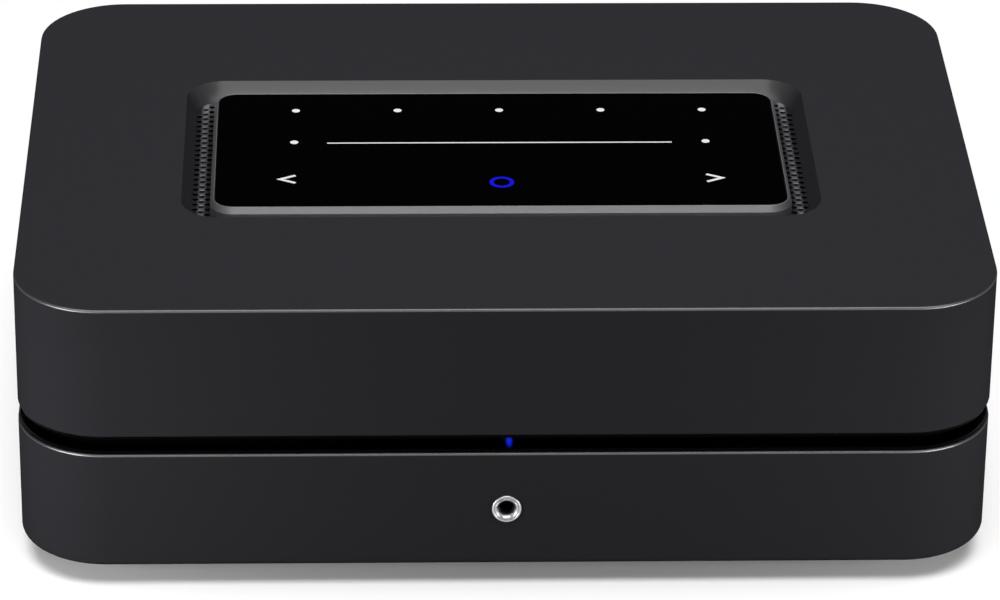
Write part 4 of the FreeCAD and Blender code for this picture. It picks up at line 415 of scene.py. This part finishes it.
for slot_name, (name, shades, roughness, cell, height, level) in PLAIN.items():
    material, tree, shader = new_material(name, Specular_IOR_Level=level)
    grain(tree, shader, shades, roughness, cell, height)
    finishes[slot_name] = material
print("plain finishes", len(PLAIN))

# %% Touch glass
FILM_PATCH, FILM_DETAIL, FILM_ROUGHNESS = 50 / 3 * MM, 2.0, (0.03, 0.07)
# Glass, polished and printed black behind: no grain, only a thin film of oil.
material, tree, shader = new_material("glass_printed_behind", Base_Color=linear("#000000"),
                                      Specular_IOR_Level=0.02)
place = add(tree, "ShaderNodeTexCoord").outputs["Object"]
film = add(tree, "ShaderNodeTexNoise", {"Vector": place, "Scale": 1 / FILM_PATCH,
                                        "Detail": FILM_DETAIL})
film_roughness = add(tree, "ShaderNodeMapRange", [film.outputs["Fac"], 0.0, 1.0, *FILM_ROUGHNESS])
tree.links.new(film_roughness.outputs[0], shader.inputs["Roughness"])
finishes["touch_glass"] = material
print("film patches", round(FILM_PATCH, 4), "m")

# %% [markdown]
# ## Metals
# A metal takes its look from what it mirrors, so its shades stay near the real metal's
# and the relief does the rest: a plated ring has almost none, a plated stud shows the
# turns of its thread, an extruded heat sink is drawn out along its fins.

# %% Metals
METALS = {
    # slot: (name, shades, roughness, cell in mm, height in mm, stretch)
    # Chrome plate on turned brass, satin.
    "chrome_ring": ("chrome_plate_on_turned_brass", ("#c6c7ca", "#ceced2"), (0.34, 0.36),
                    0.8, 0.0001, (1, 1, 1)),
    # Gold flash on turned brass.
    "gold_plate": ("gold_flash_turned", ("#c9a24c", "#d9b564"), (0.16, 0.24),
                   0.5, 0.001, (1, 1, 1)),
    # Zinc on cold-headed steel screws, faintly cloudy.
    "zinc_steel": ("zinc_plate_barrel", ("#9a9c9f", "#b4b6b8"), (0.28, 0.42),
                   0.7, 0.003, (1, 1, 1)),
    # Aluminium, extruded: fine lines along the fins.
    "sink_aluminium": ("aluminium_extruded", ("#a5a7aa", "#babcc0"), (0.32, 0.45),
                       0.4, 0.004, (1, 0.03, 1)),
    # Tin plate of the shield can, rolled.
    "shield_tin": ("tin_plate_rolled", ("#a8a9a8", "#bdbebc"), (0.28, 0.4),
                   0.5, 0.002, (0.05, 1, 1)),
}
for slot_name, (name, shades, roughness, cell, height, stretch) in METALS.items():
    material, tree, shader = new_material(name, Metallic=1.0)
    grain(tree, shader, shades, roughness, cell, height, stretch)
    finishes[slot_name] = material
print("metals", len(METALS))

# %% Threaded brass
THREAD_PITCH, THREAD_DEPTH, THREAD_STRENGTH = 1.0 * MM, 0.25 * MM, 0.6
# Nickel plate on turned brass: the thread of the studs shows as rings along Y.
material, tree, shader = new_material("nickel_plate_turned", Metallic=1.0)
grain(tree, shader, ("#b9b5ac", "#cbc7be"), (0.16, 0.26), cell_mm=0.5, height_mm=0.001)
place = add(tree, "ShaderNodeTexCoord").outputs["Object"]
along_stud = add(tree, "ShaderNodeSeparateXYZ", [place]).outputs["Y"]
turns = add(tree, "ShaderNodeMath", [along_stud, THREAD_PITCH], operation="DIVIDE")
crest = add(tree, "ShaderNodeMath", [turns, 1.0], operation="PINGPONG")
threads = add(tree, "ShaderNodeBump", {"Height": crest, "Strength": THREAD_STRENGTH,
                                       "Distance": THREAD_DEPTH})
tree.links.new(threads.outputs[0], shader.inputs["Normal"])
finishes["nickel_brass"] = material
print("thread pitch", THREAD_PITCH, "m")

# %% [markdown]
# ## Status lamp
# The light pipe is clear acrylic, polished, and glows blue because the lamp at its foot
# is lit. The band round it gets the same soft oval as painted light: a glow in its own
# emission that stands for the light spilling forward along the band's flange. The oval is
# a place and a reach in each direction, so both materials share one recipe.

# %% Lamp
LAMP_PLACE = (0.5 * MM, -85.6 * MM, 34.6 * MM)
LAMP_REACH = (1.0 * MM, 3.4 * MM, 2.0 * MM)
LAMP_BLUE, LAMP_CORE = "#1630ff", 0.1   # within the core, a share of the reach, it is even
# Strength of the glow: on the pipe it is the lamp's own light, on the band it is painted light.
LAMP_ON_PIPE, PAINTED_SPILL_ON_BAND = 0.7, 0.6


def lamp_glow_and_painted_spill(tree, shader, strength):
    """Give a shader the lamp's glow as emission, an oval fading out from the lamp's place; on the
    band it is painted light.
    """
    place = add(tree, "ShaderNodeTexCoord").outputs["Object"]
    away = add(tree, "ShaderNodeVectorMath", [place, LAMP_PLACE], operation="SUBTRACT")
    share = add(tree, "ShaderNodeVectorMath", [away, LAMP_REACH], operation="DIVIDE")
    distance = add(tree, "ShaderNodeVectorMath", [share], operation="LENGTH").outputs["Value"]
    glow = add(tree, "ShaderNodeMapRange", [distance, LAMP_CORE, 1.0, strength, 0.0],
               interpolation_type="SMOOTHSTEP")
    shader.inputs["Emission Color"].default_value = linear(LAMP_BLUE)
    tree.links.new(glow.outputs[0], shader.inputs["Emission Strength"])


# Acrylic, moulded clear and polished; the pipe's end looks black where it isn't lit.
material, tree, shader = new_material("acrylic_moulded_lit", Base_Color=linear("#04040c"),
                                      Roughness=0.2)
lamp_glow_and_painted_spill(tree, shader, LAMP_ON_PIPE)
finishes["clear_acrylic"] = material
# The band has no lamp of its own: its glow is painted light from the status lamp.
band_tree = finishes["band_black"].node_tree
lamp_glow_and_painted_spill(band_tree, band_tree.nodes["Principled BSDF"], PAINTED_SPILL_ON_BAND)
print("finishes", len(finishes))

# %% [markdown]
# ## Dressing the solids
# Every solid names its material slot in the record, so one loop can dress them all.
# A missing finish would stop the loop, which is what a beginner wants.

# %% Dress each node
slot_of = {part["node"]: part["material_slot"] for part in frame["record"]["subparts"]}
for node_name, node in frame["nodes"].items():
    finish = finishes[slot_of[node_name]]
    if not node.material_slots:
        node.data.materials.append(finish)
    for slot in node.material_slots:
        slot.material = finish
print("dressed", len(frame["nodes"]), "nodes")

# %% [markdown]
# ## Growing a piece from a node tree
# What repeats is made with Geometry Nodes. A tree starts with its named inputs, runs on
# an empty mesh, and its result is kept as a plain mesh that rides on a body.

# %% Running a tree
def new_node_group(name, **inputs):
    """A Geometry Nodes tree, and its inputs, which are named by the kind of value."""
    tree = bpy.data.node_groups.new(name, "GeometryNodeTree")
    sockets = tree.interface
    sockets.new_socket("Geometry", in_out="INPUT", socket_type="NodeSocketGeometry")
    for kind, names in inputs.items():
        for given_name in names:
            sockets.new_socket(given_name, in_out="INPUT", socket_type="NodeSocket" + kind)
    sockets.new_socket("Geometry", in_out="OUTPUT", socket_type="NodeSocketGeometry")
    return tree, add(tree, "NodeGroupInput").outputs


def finish_tree(tree, geometry, material):
    """Make the instances real, give them their material and hand them out."""
    real = add(tree, "GeometryNodeRealizeInstances", [geometry])
    dressed = add(tree, "GeometryNodeSetMaterial", {"Geometry": real, "Material": material})
    add(tree, "NodeGroupOutput", [dressed])


def grow(name, tree, body, **inputs):
    """Run a tree on an empty mesh, keep the result as a plain mesh, and let it ride."""
    piece = put_in_scene(name, bpy.data.meshes.new(name))
    modifier = piece.modifiers.new("grow", "NODES")
    modifier.node_group = tree
    for socket in tree.interface.items_tree:
        if socket.item_type == "SOCKET" and socket.in_out == "INPUT" and socket.name in inputs:
            modifier[socket.identifier] = inputs[socket.name]
    grown = piece.evaluated_get(bpy.context.evaluated_depsgraph_get())
    plain = bpy.data.meshes.new_from_object(grown)
    piece.modifiers.clear()
    piece.data = plain
    shape = bmesh.new()
    shape.from_mesh(plain)
    bmesh.ops.recalc_face_normals(shape, faces=shape.faces)
    shape.to_mesh(plain)
    shape.free()
    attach(piece, body)
    print(name, len(plain.vertices), "points", len(plain.polygons), "faces")
    return piece


# %% [markdown]
# ## Vent sheet
# The floor of the well is one sheet of steel, punched in three staggered columns on
# either side of the island. A line of points stands for a column, and every second
# column is moved by half a row. Circles on those points, the sheet's outline and its
# cable opening are filled as one face and drawn out to the sheet's thickness, so no
# hole has to be cut by a boolean.

# %% Where the holes are
def hole_places(tree, given):
    """Staggered points on both sides of the island, right side first."""
    one_row = add(tree, "ShaderNodeCombineXYZ", {"Y": given["Row Pitch"]})
    column = add(tree, "GeometryNodeMeshLine", {"Count": given["Rows"], "Offset": one_row},
                 mode="OFFSET")
    inwards = add(tree, "ShaderNodeMath", [given["Column Step"], -1.0], operation="MULTIPLY")
    one_column = add(tree, "ShaderNodeCombineXYZ", {"X": inwards})
    starts = add(tree, "GeometryNodeMeshLine", {"Count": given["Columns"], "Offset": one_column},
                 mode="OFFSET")

    # Every second column starts half a row further up, and the middle row is at zero.
    number = add(tree, "GeometryNodeInputIndex")
    odd = add(tree, "ShaderNodeMath", [number, 2.0], operation="MODULO")
    half_row = add(tree, "ShaderNodeMath", [given["Row Pitch"], 0.5], operation="MULTIPLY")
    stagger = add(tree, "ShaderNodeMath", [odd, half_row], operation="MULTIPLY")
    half_rows = add(tree, "ShaderNodeMath", [given["Rows"], 0.5], operation="MULTIPLY")
    rows_below = add(tree, "ShaderNodeMath", [half_rows], operation="FLOOR")
    below = add(tree, "ShaderNodeMath", [rows_below, given["Row Pitch"]], operation="MULTIPLY")
    lowest = add(tree, "ShaderNodeMath", [stagger, below], operation="SUBTRACT")
    first = add(tree, "ShaderNodeCombineXYZ", {"X": given["First Column"], "Y": lowest})
    staggered = add(tree, "GeometryNodeSetPosition", {"Geometry": starts, "Offset": first})
    rows = add(tree, "GeometryNodeInstanceOnPoints", {"Points": staggered, "Instance": column})
    right_side = add(tree, "GeometryNodeRealizeInstances", [rows])
    left_side = add(tree, "GeometryNodeTransform", {"Geometry": right_side, "Scale": (-1, 1, 1)})
    both_sides = add(tree, "GeometryNodeJoinGeometry")
    for side in (left_side, right_side):
        tree.links.new(side.outputs[0], both_sides.inputs[0])
    return both_sides


# %% [markdown]
# ## Keeping clear of the wall
# The well's wall stands on the sheet along a rounded rectangle, and a hole half under
# it would look like a mistake. So the distance of each point to that rectangle is worked
# out, and the points nearer than the margin are deleted before a hole is made there.

# %% Which holes stay
def holes_on_sheet(tree, given):
    """The hole places without those too near the foot of the well's wall."""
    place = add(tree, "GeometryNodeInputPosition")
    directions = add(tree, "ShaderNodeSeparateXYZ", [place]).outputs
    over = []
    for direction, size in (("X", "Foot Width"), ("Y", "Foot Length")):
        half = add(tree, "ShaderNodeMath", [given[size], 0.5], operation="MULTIPLY")
        straight = add(tree, "ShaderNodeMath", [half, given["Foot Corner"]],
                       operation="SUBTRACT")
        off = add(tree, "ShaderNodeMath", [directions[direction]], operation="ABSOLUTE")
        over.append(add(tree, "ShaderNodeMath", [off, straight], operation="SUBTRACT"))

    # The distance to a rounded rectangle: above zero outside it, and below zero inside.
    squares = []
    for value in over:
        beyond = add(tree, "ShaderNodeMath", [value, 0.0], operation="MAXIMUM")
        squares.append(add(tree, "ShaderNodeMath", [beyond, beyond], operation="MULTIPLY"))
    squared = add(tree, "ShaderNodeMath", squares, operation="ADD")
    reach = add(tree, "ShaderNodeMath", [squared], operation="SQRT")
    deepest = add(tree, "ShaderNodeMath", over, operation="MAXIMUM")
    inside = add(tree, "ShaderNodeMath", [deepest, 0.0], operation="MINIMUM")
    whole = add(tree, "ShaderNodeMath", [reach, inside], operation="ADD")
    distance = add(tree, "ShaderNodeMath", [whole, given["Foot Corner"]], operation="SUBTRACT")
    past_margin = add(tree, "ShaderNodeMath", [distance, given["Margin"]], operation="ADD")
    too_near = add(tree, "ShaderNodeMath", [past_margin, 0.0], operation="GREATER_THAN")
    return add(tree, "GeometryNodeDeleteGeometry", {"Geometry": hole_places(tree, given),
                                                    "Selection": too_near})


# %% A tree that punches a sheet
HOLE_SIDES, CORNER_STEPS, WELD = 20, 8, 0.001 * MM


def rounded_outline(tree, width, length, corner):
    """A rectangle with round corners, as a curve."""
    sharp = add(tree, "GeometryNodeCurvePrimitiveQuadrilateral", {"Width": width,
                                                                  "Height": length})
    return add(tree, "GeometryNodeFilletCurve", {"Curve": sharp, "Radius": corner,
                                                 "Count": CORNER_STEPS}, mode="POLY")


def punched_sheet_tree(finish):
    """A sheet with a rounded outline, an opening and staggered round holes."""
    tree, given = new_node_group(
        "punched_sheet",
        Float=("Width", "Length", "Corner", "Opening Width", "Opening Length", "Opening Corner",
               "Thickness", "Hole Radius", "Row Pitch", "Column Step", "First Column",
               "Foot Width", "Foot Length", "Foot Corner", "Margin"),
        Int=("Rows", "Columns"), Vector=("Place",))
    hole = add(tree, "GeometryNodeCurvePrimitiveCircle", {"Resolution": HOLE_SIDES,
                                                          "Radius": given["Hole Radius"]})
    holes = add(tree, "GeometryNodeInstanceOnPoints", {"Points": holes_on_sheet(tree, given),
                                                       "Instance": hole})
    outline = rounded_outline(tree, given["Width"], given["Length"], given["Corner"])
    opening = rounded_outline(tree, given["Opening Width"], given["Opening Length"],
                              given["Opening Corner"])
    real_holes = add(tree, "GeometryNodeRealizeInstances", [holes])
    edges = add(tree, "GeometryNodeJoinGeometry")
    for curve in (outline, opening, real_holes):
        tree.links.new(curve.outputs[0], edges.inputs[0])

    # The filled face is drawn out, and a flipped copy of it closes the sheet below.
    face = add(tree, "GeometryNodeFillCurve", [edges], mode="TRIANGLES")
    drawn = add(tree, "GeometryNodeExtrudeMesh", {
        "Mesh": face, "Offset Scale": given["Thickness"], "Individual": False})
    below = add(tree, "GeometryNodeFlipFaces", [face])
    shell = add(tree, "GeometryNodeJoinGeometry")
    for part in (drawn, below):
        tree.links.new(part.outputs[0], shell.inputs[0])
    closed = add(tree, "GeometryNodeMergeByDistance", {0: shell, "Distance": WELD})
    placed = add(tree, "GeometryNodeTransform", {"Geometry": closed,
                                                 "Translation": given["Place"]})
    finish_tree(tree, placed, finish)
    return tree


# %% Vent sheet
sheet_low, sheet_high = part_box("vent_grille")
WELL_RIM, WELL_CORNER = 4.7 * MM, 11.5 * MM
HOLE_RADIUS, ROW_PITCH, COLUMN_STEP = 0.7 * MM, 2.62 * MM, 1.45 * MM
HOLE_ROWS, HOLE_COLUMNS, HOLE_MARGIN, ROUNDING = 27, 3, 0.72 * MM, 0.01 * MM
OPENING_WIDTH, OPENING_LENGTH, OPENING_CORNER = 60 * MM, 30 * MM, 3 * MM
sheet_width, sheet_length = sheet_high[0] - sheet_low[0], sheet_high[1] - sheet_low[1]
foot_width, foot_length = sheet_width - 2 * WELL_RIM, sheet_length - 2 * WELL_RIM
first_column = foot_width / 2 - HOLE_MARGIN
vent_sheet = grow("vent_sheet", punched_sheet_tree(finishes["grille_sheet"]), "root", **{
    "Width": sheet_width, "Length": sheet_length, "Corner": WELL_CORNER,
    "Opening Width": OPENING_WIDTH, "Opening Length": OPENING_LENGTH,
    "Opening Corner": OPENING_CORNER,
    "Thickness": sheet_high[2] - sheet_low[2], "Hole Radius": HOLE_RADIUS,
    "Row Pitch": ROW_PITCH, "Column Step": COLUMN_STEP, "First Column": first_column,
    "Rows": HOLE_ROWS, "Columns": HOLE_COLUMNS,
    "Foot Width": foot_width, "Foot Length": foot_length,
    "Foot Corner": WELL_CORNER - WELL_RIM, "Margin": HOLE_MARGIN - ROUNDING,
    "Place": (0, (sheet_low[1] + sheet_high[1]) / 2, sheet_low[2])})
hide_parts("vent_grille")

# %% [markdown]
# ## Painted shade along the strips
# The well's wall and the island shade both edges of a punched strip, and that shade is
# painted into the colour, so the middle is paler. The strip's middle is the middle column
# of holes, and a ramp of the distance to that line darkens what the sheet's own recipe gave.

# %% Painted shade along the strips
UNSHADED_TO, PAINTED_SHADE_FROM, PAINTED_EDGE_SHADE = 0.4 * MM, 1.1 * MM, "#3a3a3d"
STRIP_MIDDLE = first_column - COLUMN_STEP
tree = finishes["grille_sheet"].node_tree
base = tree.nodes["Principled BSDF"].inputs["Base Color"]
place = add(tree, "ShaderNodeTexCoord").outputs["Object"]
sideways = add(tree, "ShaderNodeSeparateXYZ", [place]).outputs["X"]
either_side = add(tree, "ShaderNodeMath", [sideways], operation="ABSOLUTE")
past_strip = add(tree, "ShaderNodeMath", [either_side, STRIP_MIDDLE], operation="SUBTRACT")
off_strip = add(tree, "ShaderNodeMath", [past_strip], operation="ABSOLUTE")
# Painted shade: the colour darkens towards both edges of the strip, where the wall and the island
# shade it.
painted_shade_share = add(tree, "ShaderNodeMapRange", [off_strip, UNSHADED_TO, PAINTED_SHADE_FROM, 0.0, 1.0])
painted_shade_mix = add(tree, "ShaderNodeMix", {0: painted_shade_share, 6: base.links[0].from_socket,
                                       7: linear(PAINTED_EDGE_SHADE)}, data_type="RGBA")
tree.links.new(painted_shade_mix.outputs[2], base)
print("strip's middle", round(STRIP_MIDDLE, 4), "m from the middle of the sheet")

# %% [markdown]
# ## Ring of the headphone socket
# The socket sits in a turned ring with chrome plate: a round bead outside, a fine groove,
# then a lip that falls into a cone for the plug. A lathe makes such a part, so a profile
# of distance from the axis against depth is spun about the axis.

# %% From a bmesh to a piece
def finished(name, shape, finish):
    """Keep a bmesh as a piece with one material, its faces turned outwards."""
    bmesh.ops.recalc_face_normals(shape, faces=shape.faces)
    mesh = bpy.data.meshes.new(name)
    shape.to_mesh(mesh)
    shape.free()
    mesh.materials.append(finish)
    print(name, len(mesh.polygons), "faces")
    return put_in_scene(name, mesh)


# %% Turning on a lathe
def arc(middle, radius, start, stop, steps):
    """Points of an arc, angles in degrees, as pairs of distance and depth."""
    angles = [math.radians(start + (stop - start) * step / steps) for step in range(steps + 1)]
    return [(middle[0] + radius * math.cos(angle), middle[1] - radius * math.sin(angle))
            for angle in angles]


def turned(name, profile, middle, face_y, finish, steps):
    """Spin a closed profile of millimetres about an axis along Y."""
    shape = bmesh.new()
    rings = []
    for step in range(steps):
        angle = 2 * math.pi * step / steps
        rings.append([shape.verts.new((middle[0] + distance * MM * math.cos(angle),
                                       face_y + depth * MM,
                                       middle[1] + distance * MM * math.sin(angle)))
                      for distance, depth in profile])
    for one, two in zip(rings, rings[1:] + rings[:1]):
        for index in range(len(profile)):
            after = (index + 1) % len(profile)
            shape.faces.new((one[index], two[index], two[after], one[after]))
    piece = finished(name, shape, finish)
    for face in piece.data.polygons:
        face.use_smooth = True
    return piece


# %% Socket ring
ring_low, ring_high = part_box("headphone_ring")
ring_radius = (ring_high[0] - ring_low[0]) / 2 / MM
ring_depth = (ring_high[1] - ring_low[1]) / MM
ring_middle = ((ring_low[0] + ring_high[0]) / 2, (ring_low[2] + ring_high[2]) / 2)
# Millimetres: how far the ring stands out, its neck in the case, its bore and groove.
RING_PROUD, RING_NECK, RING_BORE, RING_GROOVE = 0.5, 2.9, 1.8, 0.42
BEAD, LIP, LIP_PLACE, CONE_DEPTH = 0.3, 0.12, 2.48, 0.7
BEAD_STEPS, LIP_STEPS, LIP_END, RING_STEPS = 12, 6, 135, 96
bead = arc((ring_radius - BEAD, BEAD), BEAD, 0, 180, BEAD_STEPS)
lip = arc((LIP_PLACE, LIP), LIP, 0, LIP_END, LIP_STEPS)
groove = [(bead[-1][0], RING_GROOVE), (lip[0][0], RING_GROOVE)]
inside = [(RING_BORE, CONE_DEPTH), (RING_BORE, ring_depth), (RING_NECK, ring_depth),
          (RING_NECK, RING_PROUD)]
socket_ring = turned("socket_ring", [(ring_radius, RING_PROUD)] + bead + groove + lip + inside,
                     ring_middle, ring_low[1], finishes["chrome_ring"], RING_STEPS)
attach(socket_ring, "root")
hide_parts("headphone_ring")

# %% [markdown]
# ## Marks behind the glass
# The glass shows a row of five dots, a slider with a dot at each end, two arrow heads
# and a blue ring. They are lit from behind, so each is a thin plate of glowing ink
# that lies on the glass. What repeats, the dots, is made with Geometry Nodes: a line
# of points, a disc on each, turned into real mesh and given its ink.

# %% Inks
glass_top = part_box("touch_glass")[1][2]
INK_LIFT, INK_THICK = 0.01 * MM, 0.03 * MM
WHITE_GLOW, BLUE_GLOW = 0.42, 0.55
ink_low, ink_high = glass_top + INK_LIFT, glass_top + INK_LIFT + INK_THICK

# Translucent ink, screen printed and lit from behind.
white_ink, tree, shader = new_material("ink_screen_printed_white", Roughness=0.5,
                                       Emission_Color=linear("#f4f4f6"),
                                       Emission_Strength=WHITE_GLOW)
grain(tree, shader, ("#8c8c8e", "#9c9c9e"), (0.45, 0.55), cell_mm=0.4, height_mm=0.0005)
blue_ink, tree, shader = new_material("ink_screen_printed_blue", Roughness=0.5,
                                      Specular_IOR_Level=0.1, Emission_Color=linear("#0404e8"),
                                      Emission_Strength=BLUE_GLOW)
grain(tree, shader, ("#020260", "#040470"), (0.45, 0.55), cell_mm=0.4, height_mm=0.0005)
print("glass top", round(glass_top, 5))

# %% A tree that lays a row of discs
DISC_SIDES = 32


def disc_row_tree(ink):
    """Discs of one size, evenly spaced along X, as a Geometry Nodes tree."""
    tree, given = new_node_group("disc_row", Float=("Radius", "Pitch", "Thickness"),
                                 Int=("Count",), Vector=("Start",))
    step = add(tree, "ShaderNodeCombineXYZ", {"X": given["Pitch"]})
    line = add(tree, "GeometryNodeMeshLine", {
        "Count": given["Count"], "Start Location": given["Start"], "Offset": step},
        mode="OFFSET")
    disc = add(tree, "GeometryNodeMeshCylinder", {
        "Vertices": DISC_SIDES, "Radius": given["Radius"], "Depth": given["Thickness"]},
        fill_type="NGON")
    placed = add(tree, "GeometryNodeInstanceOnPoints", {"Points": line, "Instance": disc})
    finish_tree(tree, placed, ink)
    return tree


# %% Dots on the glass
DOT_RADIUS, PRESETS, PRESET_PITCH, SLIDER_LENGTH = 0.95 * MM, 5, 24.15 * MM, 96.7 * MM
ink_middle = (ink_low + ink_high) / 2
dots = disc_row_tree(white_ink)
grow("preset_dots", dots, "root", Radius=DOT_RADIUS, Thickness=INK_THICK, Count=PRESETS,
     Pitch=PRESET_PITCH, Start=(-47.5 * MM, 13.7 * MM, ink_middle))
grow("slider_end_dots", dots, "root", Radius=DOT_RADIUS, Thickness=INK_THICK, Count=2,
     Pitch=SLIDER_LENGTH, Start=(-47.8 * MM, -3.6 * MM, ink_middle))

# %% [markdown]
# ## Strokes on the glass
# The slider, the arrow heads and the ring are strokes of one width along a path. Flat
# quads either side of the path, with a small thickness, are all they need.

# %% Drawing a stroke
SHARPEST = 0.35   # limits how far a stroke's outer edge reaches out at a bend


def stroke(name, path, width, ink, closed=False):
    """A flat stroke along a path of millimetres, lying on the glass."""
    shape = bmesh.new()
    points = [Vector((x * MM, y * MM, 0)) for x, y in path]
    count = len(points)
    sides = []
    for index, point in enumerate(points):
        before = points[index - 1] if closed or index else point
        after = points[(index + 1) % count] if closed or index < count - 1 else point
        first = (point - before).normalized() if point != before else (after - point).normalized()
        last = (after - point).normalized() if after != point else first
        along = (first + last).normalized()
        stretch = 1 / max(SHARPEST, along.dot(first))
        offset = Vector((-along.y, along.x, 0)) * width / 2 * stretch
        sides.append([shape.verts.new((point + sign * offset)[:2] + (height,))
                      for height in (ink_low, ink_high) for sign in (1, -1)])
    for index in range(count if closed else count - 1):
        here, there = sides[index], sides[(index + 1) % count]
        for one, two in ((0, 1), (1, 3), (3, 2), (2, 0)):
            shape.faces.new((here[one], here[two], there[two], there[one]))
    if not closed:
        shape.faces.new([sides[0][corner] for corner in (0, 2, 3, 1)])
        shape.faces.new([sides[-1][corner] for corner in (0, 1, 3, 2)])
    piece = finished(name, shape, ink)
    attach(piece, "root")


# %% Slider, arrows and ring
SLIDER_WIDTH, ARROW_WIDTH, ARROW_Y, ARROW_HALF = 0.5 * MM, 0.8 * MM, -23.3, 1.95
RING_WIDTH, RING_MIDDLE, RING_RADIUS, RING_POINTS = 1.0 * MM, (0.3, -25.2), 2.375, 48
stroke("slider_line", [(-40.1, -4.1), (40.9, -4.1)], SLIDER_WIDTH, white_ink)
for arrow_name, end, tip in (("arrow_left", -47.4, -51.0), ("arrow_right", 47.9, 51.5)):
    stroke(arrow_name, [(end, ARROW_Y + ARROW_HALF), (tip, ARROW_Y), (end, ARROW_Y - ARROW_HALF)],
           ARROW_WIDTH, white_ink)
ring_angles = [2 * math.pi * step / RING_POINTS for step in range(RING_POINTS)]
stroke("power_ring", [(RING_MIDDLE[0] + RING_RADIUS * math.cos(angle),
                       RING_MIDDLE[1] + RING_RADIUS * math.sin(angle)) for angle in ring_angles],
       RING_WIDTH, blue_ink, closed=True)
